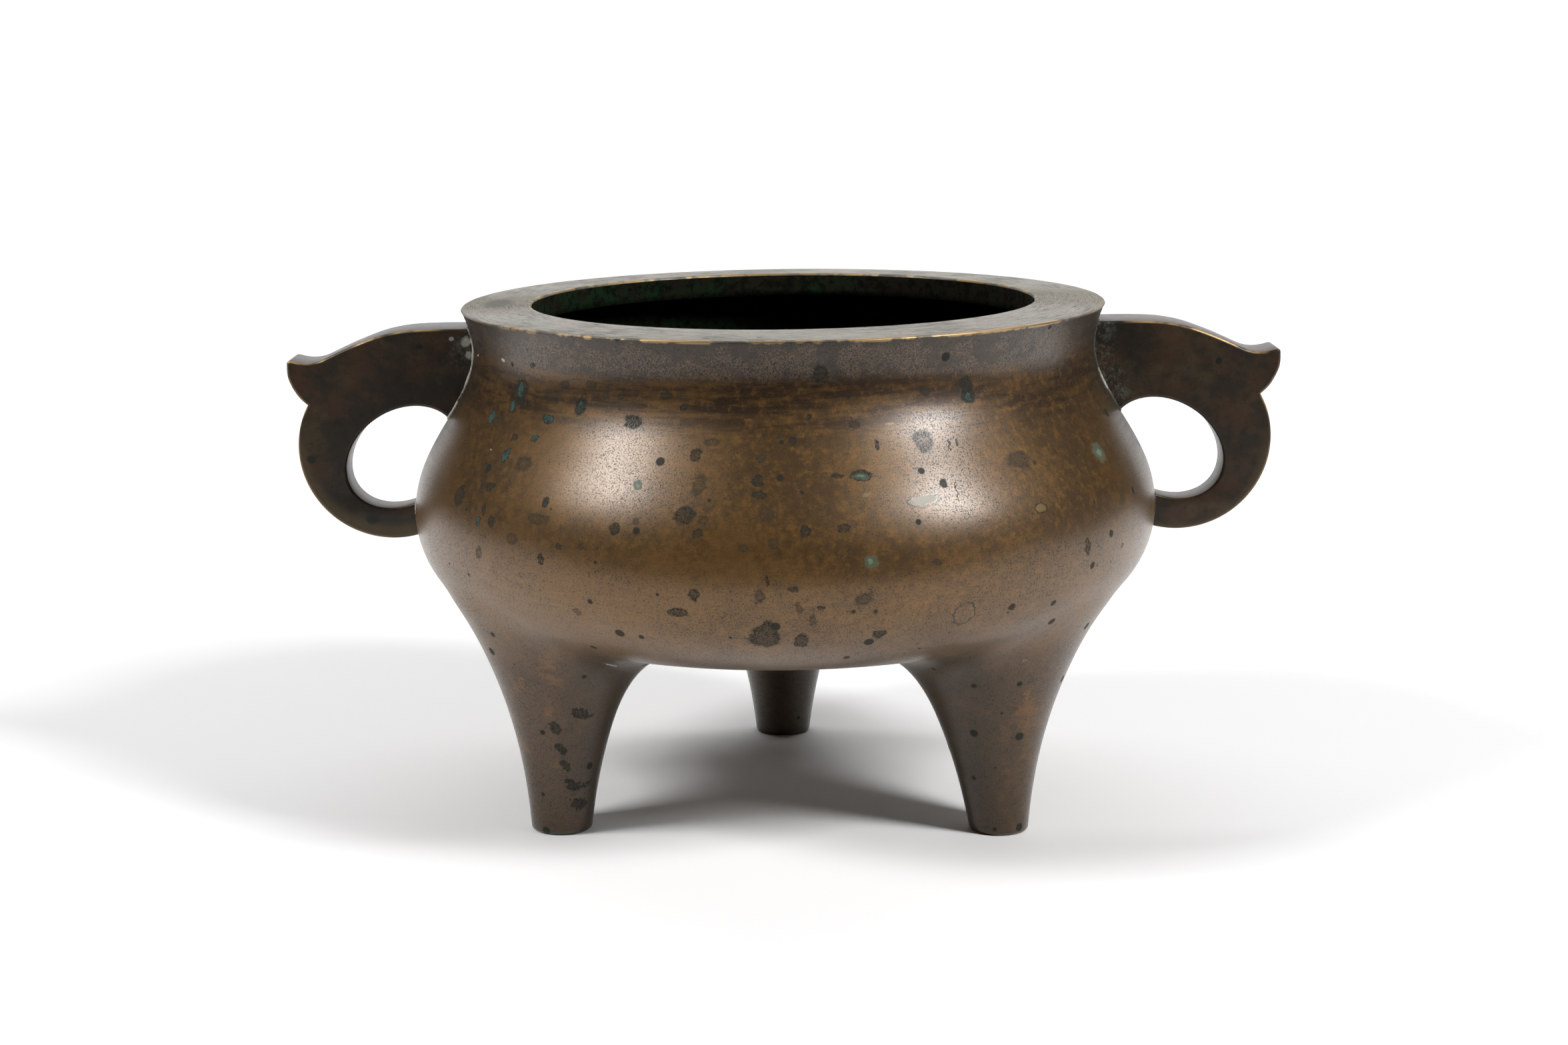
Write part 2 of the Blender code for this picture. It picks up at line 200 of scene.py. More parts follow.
# The casting's mesh
# One closed skin: the outside is a turned grid with an opening over each leg, from which that leg's own
# rings run down to the foot; lip, inside wall and floor are turned on from the same grid.
PATCH_HALF_SIDES = 18
PATCH_TOP = 0.0605
PATCH_INNER_RADIUS = 0.0385
LEG_EASED_BELOW = 0.0330
LEG_EASED_RINGS = 12
LEG_RINGS = 16
FOOT_EDGE_ROUNDING = 0.0009


class Skin:
    """Points and faces gathered piece by piece."""

    def __init__(self):
        self.points = np.zeros((0, 3))
        self.faces = []

    def add(self, points):
        first = len(self.points)
        self.points = np.vstack([self.points, points])
        return list(range(first, first + len(points)))

    def add_ring(self, radius, height, sides):
        angle = 2 * pi * np.arange(sides) / sides
        ring = np.column_stack([radius * np.cos(angle), radius * np.sin(angle), np.full(sides, height)])
        return self.add(ring @ lean_turn.T + lean_shift)

    def add_middle(self, height):
        """One point on the bowl's own axis."""
        return self.add(np.array([[0.0, 0.0, height]]) @ lean_turn.T + lean_shift)[0]

    def join(self, upper, lower):
        """Faces between two closed rings, the upper one first."""
        count = len(upper)
        for k in range(count):
            n = (k + 1) % count
            self.faces.append((upper[k], lower[k], lower[n], upper[n]))

    def close(self, ring, middle):
        count = len(ring)
        for k in range(count):
            self.faces.append((ring[k], middle, ring[(k + 1) % count]))


skin = Skin()
rings = [skin.add_ring(radius, height, BOWL_SIDES) for radius, height in outside_profile[:-1]]
ring_radii = outside_profile[:-1, 0]
ring_heights = outside_profile[:-1, 1]
pole = skin.add_middle(BASE_HEIGHT)
patch_top = int(np.argmax(ring_heights < PATCH_TOP))
patch_end = int(np.argmax((ring_radii < PATCH_INNER_RADIUS) & (ring_heights < BELLY_HEIGHT)))
patches = [round((azimuth + FEET_TURN) / 360 * BOWL_SIDES) for azimuth, *_ in LEGS]


def in_patch(ring, side):
    """Whether a face of the turned grid makes way for a leg."""
    if not patch_top <= ring < patch_end:
        return False
    return any((side - middle + PATCH_HALF_SIDES) % BOWL_SIDES < 2 * PATCH_HALF_SIDES for middle in patches)


for ring in range(len(rings) - 1):
    for side in range(BOWL_SIDES):
        after = (side + 1) % BOWL_SIDES
        if not in_patch(ring, side):
            skin.faces.append((rings[ring][side], rings[ring + 1][side], rings[ring + 1][after],
                               rings[ring][after]))
skin.close(rings[-1], pole)

for leg, middle in zip(LEGS, patches):
    azimuth, foot_radius, taper, flare, inward_lean = leg
    low = middle - PATCH_HALF_SIDES
    high = middle + PATCH_HALF_SIDES
    border = [(patch_top, side) for side in range(low, high)]
    border += [(ring, high) for ring in range(patch_top, patch_end)]
    border += [(patch_end, side) for side in range(high, low, -1)]
    border += [(ring, low) for ring in range(patch_end, patch_top, -1)]
    border = [rings[ring][side % BOWL_SIDES] for ring, side in reversed(border)]
    edge = skin.points[border]
    offset = edge[:, :2] - leg_centre(np.full(len(edge), LEG_EASED_BELOW), azimuth, inward_lean)
    angles = np.unwrap(np.arctan2(offset[:, 1], offset[:, 0]))
    way = int(np.sign(angles[-1] - angles[0]))
    even = way * 2 * pi * np.arange(len(edge)) / len(edge)
    even += np.mean(angles - even)

    def leg_ring(height, radius):
        centre = leg_centre(np.full(len(even), height), azimuth, inward_lean)
        return np.column_stack([centre[:, 0] + radius * np.cos(even), centre[:, 1] + radius * np.sin(even),
                                np.full(len(even), height)])

    below = leg_ring(LEG_EASED_BELOW, leg_radius(LEG_EASED_BELOW, foot_radius, taper, flare))
    rows = [on_casting(edge * (1 - share) + below * share, 6)
            for share in np.arange(1, LEG_EASED_RINGS + 1) / LEG_EASED_RINGS]
    rows += [leg_ring(height, leg_radius(height, foot_radius, taper, flare))
             for height in np.linspace(LEG_EASED_BELOW, FOOT_EDGE_ROUNDING, LEG_RINGS + 1)[1:]]
    rows += [leg_ring(FOOT_EDGE_ROUNDING * (1 - sin(angle)),
                      foot_radius - FOOT_EDGE_ROUNDING * (1 - cos(angle)))
             for angle in (pi / 6, pi / 3, pi / 2)]
    rows += [leg_ring(0.0, foot_radius * share) for share in (0.7, 0.5, 0.3, 0.1)]
    before = border
    for row in rows:
        ring = skin.add(row)
        skin.join(before[::way], ring[::way])
        before = ring
    middle_point = np.append(leg_centre(np.zeros(1), azimuth, inward_lean)[0], 0.0)
    skin.close(before[::way], skin.add(middle_point[None])[0])

# The lip and the inside wall
# The same casting's broad lip rises a little towards the mouth. Behind it the wall follows the outside;
# how thick it is can't be seen.
MOUTH_RADIUS = 0.0626
MOUTH_RISE = 0.0005
MOUTH_EDGE_ROUNDING = 0.0006
LIP_DEPTH = 0.0055
WALL = 0.0050
FLOOR = 0.0060
LIP_STEP = 0.0025
MOUTH_STEP = 0.0016
INSIDE_STEP = 0.0028

lip_edge = [(LIP_RADIUS - LIP_EDGE_ROUNDING * (1 - cos(angle)),
             LIP_HEIGHT - LIP_EDGE_ROUNDING * (1 - sin(angle)))
            for angle in (0.4, 0.8, 1.2, pi / 2)]
mouth_edge = [(MOUTH_RADIUS + MOUTH_EDGE_ROUNDING * (1 - sin(angle)),
               LIP_HEIGHT + MOUTH_RISE - MOUTH_EDGE_ROUNDING * (1 - cos(angle)))
              for angle in (0.0, 0.4, 0.8, 1.2, pi / 2)]
lip_top = evened([lip_edge[-1], mouth_edge[0]], LIP_STEP)[1:-1]
under_lip = LIP_HEIGHT - LIP_DEPTH
inner_neck = NECK_RADIUS - WALL
hollow = [(MOUTH_RADIUS + (inner_neck - MOUTH_RADIUS) * share,
           under_lip - (under_lip - NECK_HEIGHT) * share ** 2)
          for share in np.linspace(0, 1, 20)]
inner_heights = np.linspace(NECK_HEIGHT, BELLY_HEIGHT, 200)
inner_wall = np.column_stack([wall_radius(inner_heights) - WALL, inner_heights])
inner_base = base_profile(BELLY_RADIUS - WALL, BASE_HEIGHT + FLOOR)
inside = evened(np.vstack([hollow, inner_wall[1:], inner_base[1:]]), INSIDE_STEP)
mouth_wall = evened([mouth_edge[-1], hollow[0]], MOUTH_STEP)[1:-1]
before = rings[0]
first_inside = len(skin.points) + BOWL_SIDES * (len(lip_edge) + len(lip_top) + len(mouth_edge))
for radius, height in [*lip_edge, *lip_top, *mouth_edge, *mouth_wall, *inside[:-1]]:
    ring = skin.add_ring(radius, height, BOWL_SIDES)
    skin.join(ring, before)
    before = ring
skin.close(before[::-1], skin.add_middle(BASE_HEIGHT + FLOOR))

# The fillets of the legs
# Bowl and legs run into each other without an edge, as the metal was cast in one. The skin's points are
# spread evenly there, over the surface that they lie on.
EASED_FOOT_REACH = 0.0080
EASED_LEG_REACH = 0.0220
EASED_BOWL_REACH = 0.0260
EASED_INNER_RADIUS = 0.0280
EASING_ROUNDS = 120

faces = np.array([face if len(face) == 4 else (*face, face[2]) for face in skin.faces])
pairs = np.vstack([faces[:, [k, (k + 1) % 4]] for k in range(4)])
pairs = pairs[pairs[:, 0] != pairs[:, 1]]
pairs = np.unique(np.sort(pairs, axis=1), axis=0)
starts = np.concatenate([pairs[:, 0], pairs[:, 1]])
ends = np.concatenate([pairs[:, 1], pairs[:, 0]])
counts = np.bincount(starts, minlength=len(skin.points)).clip(1)
leg_gaps = np.min([np.abs(leg_surface(skin.points, *leg)[0]) for leg in LEGS], axis=0)
bowl_gaps = np.abs(bowl_surface(skin.points)[0])
point_heights = skin.points[:, 2]
free = (point_heights < LEG_TOP) & (point_heights > LEG_EASED_BELOW - EASED_FOOT_REACH)
free &= (leg_gaps < EASED_LEG_REACH) & (bowl_gaps < EASED_BOWL_REACH)
free &= np.linalg.norm(skin.points[:, :2], axis=1) > EASED_INNER_RADIUS
free &= (point_heights <= BASE_HEIGHT + FLOOR / 2) | (bowl_gaps < WALL / 2)
for _ in range(EASING_ROUNDS):
    sums = [np.bincount(starts, skin.points[ends, k], len(skin.points)) for k in range(3)]
    average = np.column_stack(sums) / counts[:, None]
    skin.points[free] = on_casting(skin.points[free] * 0.5 + average[free] * 0.5, 1)
skin.points[free] = on_casting(skin.points[free], 8)


def turn_faces_out(mesh):
    work = bmesh.new()
    work.from_mesh(mesh)
    bmesh.ops.recalc_face_normals(work, faces=work.faces[:])
    work.to_mesh(mesh)
    work.free()


def solid_piece(name, points, faces):
    """A smooth closed piece in the scene, of points and faces."""
    mesh = bpy.data.meshes.new(name)
    mesh.from_pydata(points.tolist(), [], faces)
    mesh.validate()
    mesh.shade_smooth()
    turn_faces_out(mesh)
    item = bpy.data.objects.new(name, mesh)
    bpy.context.scene.collection.objects.link(item)
    return item


used = np.unique(np.concatenate([np.array(face) for face in skin.faces]))
renumbered = {old: new for new, old in enumerate(used)}
body = solid_piece("censer_casting", skin.points[used],
                   [tuple(renumbered[k] for k in face) for face in skin.faces])
body_mesh = body.data
inner_faces = [min(used[list(face.vertices)]) >= first_inside - BOWL_SIDES for face in body_mesh.polygons]
body_mesh.polygons.foreach_set("material_index", np.array(inner_faces, dtype=np.int32))

# The casting's finish
# Bronze under a warm brown patina that was brushed round its axis: purplish at neck and lip, rubbed back
# to golden metal along the lip's edge, spotted all over with dark corrosion and here and there verdigris.
GOLDEN_BROWN = (0.136, 0.069, 0.017)
LOWER_BROWN_AND_FLOOR_REFLECTION = (0.200, 0.104, 0.030)
DEEP_BROWN = (0.084, 0.044, 0.014)
BAND_BROWN_AND_SHADE = (0.036, 0.018, 0.007)
PURPLE_BROWN = (0.036, 0.026, 0.018)
PINK_BROWN = (0.185, 0.122, 0.078)
LEG_BROWN = (0.068, 0.038, 0.020)
ORANGE_BROWN = (0.210, 0.094, 0.022)
BLACK_PATINA = (0.006, 0.008, 0.004)
VERDIGRIS = (0.036, 0.080, 0.066)
PALE_CRUST = (0.420, 0.400, 0.340)
RUBBED_GOLD = (0.430, 0.285, 0.130)
RIM_REFLECTION_GREY = (0.190, 0.165, 0.122)
OLIVE_GOLD = (0.150, 0.100, 0.038)
GREY_GREEN = (0.070, 0.092, 0.062)
MINT = (0.115, 0.230, 0.150)

# Heights between which one tone gives way to the next.
LOWER_TONE = (0.088, 0.066)
DARK_BANDS_AND_SHADE = (0.101, 0.111)
NECK_TONE = (0.1188, 0.1212)
UPPER_NECK = (0.1255, 0.1225)
LEG_TONE = (0.072, 0.052)
FOOT_DARKENING = (0.040, 0.004)
FOOT_CRUST = (0.0022, 0.0004)
HANDLE_SHADE_AND_STAIN = (0.078, 0.100)
WEAR_REACH = 0.0012
WEAR_HEART = 0.0005

BUMP_STRENGTH = 0.8
SPOT_DEPTH = 0.006

# Each spot's azimuth from the front in degrees, height, half width and half height in millimetres.
DARK_SPOTS = (
    (-52.2, 112.8, 2.9, 2.2), (-51.8, 110.6, 2.3, 1.6), (-53.3, 108.1, 1.5, 1.3), (-36.4, 110.8, 1.8, 2.0),
    (-25.5, 108.1, 2.1, 1.4), (-19.9, 114.3, 1.5, 0.9), (-16.7, 111.7, 0.9, 0.9), (-49.6, 102.2, 1.1, 0.8),
    (-57.9, 87.5, 2.4, 2.2), (-50.3, 91.0, 1.4, 1.1), (-37.5, 89.8, 1.0, 1.2), (-50.1, 85.9, 0.8, 1.2),
    (-47.6, 83.8, 1.3, 1.2), (-24.7, 85.7, 1.4, 1.2), (-14.5, 89.4, 2.3, 1.8), (-12.2, 85.6, 1.2, 0.9),
    (-4.0, 96.7, 1.3, 1.3), (-3.7, 93.8, 1.6, 0.8), (6.2, 119.2, 1.8, 2.0), (32.6, 114.8, 1.5, 1.8),
    (32.7, 112.1, 1.7, 1.5), (1.4, 104.9, 1.0, 0.8), (4.1, 109.6, 0.7, 0.8), (2.9, 86.3, 1.3, 1.2),
    (8.2, 86.7, 1.3, 0.9), (8.0, 97.4, 1.3, 0.6), (11.5, 97.4, 2.7, 1.1), (49.1, 75.8, 1.1, 2.1),
    (-12.8, 72.1, 1.1, 1.4), (-15.3, 67.5, 2.3, 1.2), (-3.2, 61.3, 3.6, 2.2), (-2.6, 63.6, 1.9, 2.0),
    (-3.9, 62.4, 1.8, 1.9), (2.2, 60.6, 1.5, 2.1), (13.7, 61.5, 1.6, 0.9), (-33.7, 80.6, 0.8, 0.8),
    (-36.8, 77.3, 1.0, 1.1), (-13.7, 101.8, 1.4, 1.3), (1.0, 73.5, 1.2, 0.6), (4.9, 69.1, 0.9, 0.5),
    (-2.5, 75.6, 0.3, 1.2), (-52.3, 29.4, 0.8, 1.7), (-48.9, 33.0, 0.8, 1.6), (-52.8, 23.6, 0.7, 1.5),
    (-53.1, 19.2, 0.5, 1.5), (-53.3, 13.8, 0.5, 1.6), (-53.6, 8.3, 0.5, 1.8), (14.8, 103.3, 0.5, 1.0),
    (27.0, 102.3, 0.3, 1.1), (28.4, 102.6, 0.3, 1.0), (26.0, 92.6, 0.2, 2.4), (59.4, 73.5, 0.6, 0.5),
)
SOFT_SPOTS = (
    (-56.1, 104.6, 2.9, 1.4), (-43.5, 112.2, 2.1, 1.5), (-34.5, 115.7, 1.5, 0.9), (-40.6, 115.0, 1.3, 0.8),
    (-31.4, 113.6, 1.1, 0.9), (-28.4, 113.6, 0.9, 0.8), (-17.4, 114.7, 1.1, 0.8), (-44.7, 97.0, 2.4, 1.4),
    (-52.2, 90.6, 1.2, 1.3), (-53.6, 85.9, 0.9, 1.1), (-42.7, 80.8, 1.8, 1.2), (-21.4, 87.7, 0.8, 0.8),
    (-29.8, 81.3, 0.7, 0.6), (-12.7, 95.8, 1.5, 2.1), (-11.5, 88.4, 1.1, 0.9), (-3.5, 101.3, 1.2, 1.0),
    (-11.4, 104.5, 1.7, 0.8), (-2.6, 89.9, 1.8, 1.7), (-5.7, 82.7, 1.2, 1.0), (-1.4, 83.6, 1.5, 1.3),
    (11.4, 107.9, 1.2, 1.1), (24.3, 114.2, 1.2, 1.1), (39.0, 97.7, 3.1, 1.9), (-3.6, 71.9, 1.2, 1.3),
    (1.8, 69.0, 0.7, 1.4), (3.7, 65.9, 0.6, 1.3), (-31.6, 65.5, 1.1, 0.9), (10.9, 70.6, 1.8, 1.5),
    (-38.2, 86.1, 3.3, 1.1), (22.6, 103.5, 2.3, 2.2), (21.6, 78.2, 1.1, 0.8), (-50.2, 76.0, 1.1, 1.3),
)
GREEN_SPOTS = (
    (-52.4, 112.4, 1.2, 2.0), (-59.2, 105.2, 1.4, 1.6), (-36.4, 110.5, 1.0, 1.4), (-44.6, 102.5, 1.2, 0.8),
    (-49.8, 98.0, 1.1, 1.6), (-50.9, 83.2, 0.8, 1.2), (11.5, 97.1, 1.4, 0.5), (-37.5, 89.7, 0.6, 0.6),
    (-43.1, 107.0, 1.8, 0.9), (-48.9, 118.5, 1.0, 0.6), (-53.6, 108.6, 1.0, 1.5), (32.7, 112.1, 0.7, 1.1),
)
GREEN_HALOS = (
    (59.2, 95.3, 2.8, 2.2), (11.9, 79.2, 1.7, 1.6), (-22.2, 95.0, 1.3, 1.0), (11.5, 97.1, 1.9, 0.6),
)
OUTLINES = (
    (26.6, 64.8, 2.8, 2.8), (20.6, 91.5, 3.9, 1.4), (40.1, 86.8, 1.9, 1.1), (-49.2, 118.6, 0.8, 0.8),
)
PALE_SPOTS = (
    (-58.9, 118.5, 0.8, 0.4), (-74.2, 117.1, 0.8, 0.3), (-54.4, 98.5, 0.6, 0.2), (20.6, 91.6, 3.2, 0.8),
    (19.9, 91.2, 1.9, 0.9), (-39.0, 46.8, 0.3, 0.9), (50.2, 13.9, 0.3, 0.3),
)
GOLDEN_SPOTS = (
    (40.1, 86.8, 1.7, 0.8), (26.2, 90.6, 0.4, 1.1), (12.0, 93.4, 0.8, 0.3), (47.5, 46.8, 0.7, 0.4),
    (17.4, 107.6, 1.3, 0.3),
)


class Finish:
    """The node tree of one procedural finish."""

    def __init__(self, name):
        self.material = bpy.data.materials.new(name)
        self.material.use_nodes = True
        self.tree = self.material.node_tree
        self.shader = self.tree.nodes["Principled BSDF"]
        self.place = self.node("ShaderNodeTexCoord").outputs["Object"]

    def give(self, socket, value):
        if isinstance(value, bpy.types.NodeSocket):
            self.tree.links.new(value, socket)
        else:
            socket.default_value = value

    def node(self, kind, inputs=(), **settings):
        """A node with its settings; its inputs are given in order, or by their names."""
        made = self.tree.nodes.new(kind)
        for name, value in settings.items():
            setattr(made, name, value)
        for key, value in inputs.items() if isinstance(inputs, dict) else enumerate(inputs):
            self.give(made.inputs[key], value)
        return made

    def maths(self, operation, *values):
        return self.node("ShaderNodeMath", values, operation=operation).outputs[0]

    def times(self, first, second):
        return self.maths("MULTIPLY", first, second)

    def plus(self, first, second):
        return self.maths("ADD", first, second)

    def minus(self, first, second):
        return self.maths("SUBTRACT", first, second)

    def most(self, first, second):
        return self.maths("MAXIMUM", first, second)

    def distance(self, first, second):
        """The distance that two ways at a right angle make."""
        squares = self.plus(self.maths("POWER", first, 2.0), self.maths("POWER", second, 2.0))
        return self.maths("SQRT", squares)

    def vector(self, x, y, z):
        return self.node("ShaderNodeCombineXYZ", (x, y, z)).outputs[0]

    def parts(self, vector):
        return tuple(self.node("ShaderNodeSeparateXYZ", (vector,)).outputs)

    def vector_maths(self, operation, *values):
        made = self.node("ShaderNodeVectorMath", values, operation=operation)
        return made.outputs["Value" if operation == "LENGTH" else "Vector"]

    def mapped(self, vector, location=(0, 0, 0), rotation=(0, 0, 0), scale=(1, 1, 1), kind="POINT"):
        inputs = {"Vector": vector, "Location": location, "Rotation": rotation, "Scale": scale}
        return self.node("ShaderNodeMapping", inputs, vector_type=kind).outputs[0]

    def noise(self, vector, scale, detail, roughness, output="Fac"):
        inputs = {"Vector": vector, "Scale": scale, "Detail": detail, "Roughness": roughness}
        return self.node("ShaderNodeTexNoise", inputs).outputs[output]

    def step(self, value, low, high, at_low=0.0, at_high=1.0):
        """A soft step from one value to another."""
        inputs = {"Value": value, "From Min": low, "From Max": high, "To Min": at_low, "To Max": at_high}
        return self.node("ShaderNodeMapRange", inputs, interpolation_type="SMOOTHSTEP").outputs["Result"]

    def mix(self, share, first, second):
        inputs = {"Factor": share}
        for key, colour in ((6, first), (7, second)):
            inputs[key] = colour if isinstance(colour, bpy.types.NodeSocket) else (*colour, 1.0)
        return self.node("ShaderNodeMix", inputs, data_type="RGBA").outputs[2]

    def nearest(self, vector, marks):
        """How near the closest mark is, in shares of its size: 1 on its edge."""
        near = 9.0
        for centre, sizes in marks:
            scale = [1 / size for size in sizes]
            shift = [-middle / size for middle, size in zip(centre, sizes)]
            local = self.vector_maths("MULTIPLY_ADD", vector, scale, shift)
            near = self.maths("MINIMUM", near, self.vector_maths("LENGTH", local))
        return near

    def surface(self, inputs):
        """Sets the shader's own sockets."""
        for name, value in inputs.items():
            self.give(self.shader.inputs[name], value)

    def lift(self, height, strength=1.0):
        """Gives the surface a fine relief of so many metres, and returns its normal."""
        inputs = {"Height": height, "Distance": 1.0, "Strength": strength}
        normal = self.node("ShaderNodeBump", inputs).outputs["Normal"]
        self.surface({"Normal": normal})
        return normal


def outside_reach(azimuth, height):
    """How far out from the axis the outside lies, at an azimuth from the front and a height."""
    if height > BELLY_HEIGHT:
        return float(wall_radius(height))
    radii = np.linspace(0.100, 0.020, 900)
    across = sin(radians(azimuth))
    points = np.column_stack([radii * across, -radii * cos(radians(azimuth)), np.full(900, height)])
    return float(radii[int(np.argmax(eased_surface(points)[0] < 0))])


def bowl_marks(spots):
    """Centres and sizes of spots as arc, reach from the axis and height."""
    marks = []
    for azimuth, height, half_width, half_height in spots:
        reach = outside_reach(azimuth, height / 1000)
        centre = (radians(azimuth - 90) * BELLY_RADIUS, reach, height / 1000)
        marks.append((centre, (half_width / 1000 * BELLY_RADIUS / reach, SPOT_DEPTH, half_height / 1000)))
    return marks


# Each point's way round the bowl, out from the bowl's own leaning axis, and up it.
cast = Finish("patinated_bronze")
place = cast.place
upright = cast.mapped(place, (BOWL_OFFSET, 0.0, BOWL_LEAN_HEIGHT), (0.0, -BOWL_LEAN, 0.0), kind="TEXTURE")
own_x, own_y, own_z = cast.parts(upright)
height = cast.plus(own_z, BOWL_LEAN_HEIGHT)
radius = cast.distance(own_x, own_y)
around = cast.vector(cast.times(cast.maths("ARCTAN2", own_y, own_x), BELLY_RADIUS), radius, height)
brushed = cast.mapped(around, scale=(60, 2200, 2200))
broad_brushed = cast.mapped(around, scale=(48, 460, 460))

clouds = cast.noise(place, 46, 4, 0.68)
fine_clouds = cast.noise(place, 480, 4, 0.78)
grain = cast.noise(cast.mapped(around, scale=(2400, 3000, 3000)), 1.0, 2, 0.90)
streaks = cast.noise(brushed, 1.0, 2, 0.6)
bands = cast.noise(broad_brushed, 1.0, 3, 0.70)

# The belly is clouded in two browns, lighter below, and darker in brushed bands under the neck.
cloudy = cast.plus(cast.times(clouds, 0.5), cast.times(fine_clouds, 0.5))
# The lighter lower belly is partly a warmer tone of its own, partly a painted reflection of the bright
# floor.
lower = cast.step(height, *LOWER_TONE)
golden = cast.mix(lower, GOLDEN_BROWN, LOWER_BROWN_AND_FLOOR_REFLECTION)
deep = cast.mix(cast.times(lower, 0.45), DEEP_BROWN, LOWER_BROWN_AND_FLOOR_REFLECTION)
sideways = cast.step(own_x, 0.06, -0.06, -0.040, 0.055)
colour = cast.mix(cast.step(cast.plus(cloudy, sideways), 0.40, 0.60), deep, golden)
# The brushed bands under the neck are partly real streaks, partly painted shade where the shoulder reflects
# the dark room.
dark_bands_and_shade = cast.step(height, *DARK_BANDS_AND_SHADE, 0.12, 1.0)
colour = cast.mix(cast.times(cast.step(bands, 0.38, 0.60, 0.15, 1.0), dark_bands_and_shade), colour, BAND_BROWN_AND_SHADE)
colour = cast.mix(cast.step(streaks, 0.45, 0.75, 0.0, 0.25), colour, DEEP_BROWN)
colour = cast.mix(cast.step(fine_clouds, 0.50, 0.68, 0.0, 0.40), colour, ORANGE_BROWN)

# The neck is purplish, under a paler net of fine crust.
neck_edge = cast.plus(height, cast.times(fine_clouds, 0.004))
neck = cast.step(neck_edge, *NECK_TONE)
crust = cast.noise(place, 1200, 2, 0.80)
network = cast.step(cast.maths("ABSOLUTE", cast.minus(crust, 0.5)), 0.060, 0.010)
lower_neck = cast.step(height, *UPPER_NECK, -0.06, 0.07)
net_patches = cast.plus(cast.noise(place, 150, 2, 0.70), lower_neck)
network = cast.times(network, cast.step(net_patches, 0.42, 0.58, 0.08, 0.95))
neck_colour = cast.mix(network, PURPLE_BROWN, PINK_BROWN)
neck_colour = cast.mix(cast.step(fine_clouds, 0.56, 0.66, 0.0, 0.5), neck_colour, DEEP_BROWN)
colour = cast.mix(cast.times(neck, 0.85), colour, neck_colour)

# The legs are darker, and darker still towards the feet; painted shade blackens the sides that face each
# other and the back leg.
leg_height = cast.plus(height, cast.times(clouds, 0.02))
on_leg = cast.step(leg_height, *LEG_TONE)
leg_clouds = cast.noise(place, 130, 3, 0.78)
leg_stains = cast.noise(place, 310, 2, 0.6)
leg_colour = cast.mix(cast.step(leg_clouds, 0.48, 0.74, 0.0, 0.75), LEG_BROWN, ORANGE_BROWN)
leg_colour = cast.mix(cast.step(leg_stains, 0.55, 0.70, 0.0, 0.6), leg_colour, BLACK_PATINA)
# The legs darken towards the feet.
leg_colour = cast.mix(cast.step(height, *FOOT_DARKENING, 0.0, 0.45), leg_colour, BLACK_PATINA)
# Painted shade: the legs' sides that face each other, and the back leg, darkened to near black.
inner_edge = cast.minus(radius, cast.times(height, 0.25))
leg_painted_shade = cast.most(cast.step(inner_edge, 0.066, 0.056), cast.step(own_y, 0.020, 0.045, 0.0, 1.1))
leg_colour = cast.mix(cast.times(leg_painted_shade, 0.65), leg_colour, BLACK_PATINA)
colour = cast.mix(cast.times(on_leg, 0.8), colour, leg_colour)

# Beside the handles the bowl is darkened to black: painted shade where the handles meet it, and black
# corrosion.
joint_shade_and_stain = cast.plus(cast.maths("ABSOLUTE", own_y), cast.times(cast.noise(brushed, 0.4, 1, 0.7), 0.012))
joint_shade_and_stain = cast.times(cast.step(joint_shade_and_stain, 0.040, 0.014), cast.step(height, *HANDLE_SHADE_AND_STAIN))
colour = cast.mix(cast.times(joint_shade_and_stain, 0.75), colour, BLACK_PATINA)

# The spots have ragged edges.
jitter = cast.noise(cast.mapped(around, scale=(450, 900, 900)), 1.0, 1, 0.6, output="Color")
ragged = cast.vector_maths("MULTIPLY_ADD", jitter, (0.0018, 0.0, 0.0012),
                           cast.vector_maths("ADD", around, (-0.0009, 0.0, -0.0006)))
rough_edge = cast.plus(cast.times(fine_clouds, 1.1), cast.times(grain, 0.5))
rough_edge = cast.minus(rough_edge, 0.8)
dark_near = cast.plus(cast.nearest(ragged, bowl_marks(DARK_SPOTS)), rough_edge)
soft_near = cast.plus(cast.nearest(ragged, bowl_marks(SOFT_SPOTS)), rough_edge)
dark_spot = cast.times(cast.step(dark_near, 1.22, 0.94), cast.step(dark_near, 0.40, 0.85, 0.85, 1.0))
soft_spot = cast.times(cast.step(soft_near, 1.40, 0.80), cast.step(soft_near, 0.30, 0.95, 0.75, 1.0))
green_near = cast.plus(cast.nearest(ragged, bowl_marks(GREEN_SPOTS)), rough_edge)
green_spot = cast.step(green_near, 1.20, 0.95)
green_heart = cast.times(cast.step(green_near, 0.98, 0.72), cast.step(crust, 0.40, 0.56, 0.15, 1.0))
pale_spot = cast.step(cast.nearest(ragged, bowl_marks(PALE_SPOTS)), 1.10, 0.80)
golden_spot = cast.step(cast.nearest(ragged, bowl_marks(GOLDEN_SPOTS)), 1.20, 0.70)
halo_near = cast.nearest(ragged, bowl_marks(GREEN_HALOS))
halo = cast.step(cast.plus(halo_near, rough_edge), 1.20, 0.80)
from_outline = cast.maths("ABSOLUTE", cast.minus(cast.nearest(ragged, bowl_marks(OUTLINES)), 1.0))
outline = cast.step(from_outline, 0.13, 0.04)
outline = cast.times(outline, cast.step(fine_clouds, 0.36, 0.50))

# Specks and pores lie all over.
scatter = cast.node("ShaderNodeTexVoronoi", {"Vector": place, "Scale": 190}, feature="F1")
chance = cast.node("ShaderNodeSeparateColor", (scatter.outputs["Color"],)).outputs
chosen = cast.step(chance[0], 0.62, 0.64)
size = cast.times(cast.maths("POWER", chance[1], 2.0), 0.17)
speck = cast.times(cast.step(cast.minus(scatter.outputs["Distance"], size), 0.10, 0.02), chosen)
pore_dots = cast.step(grain, 0.52, 0.62)

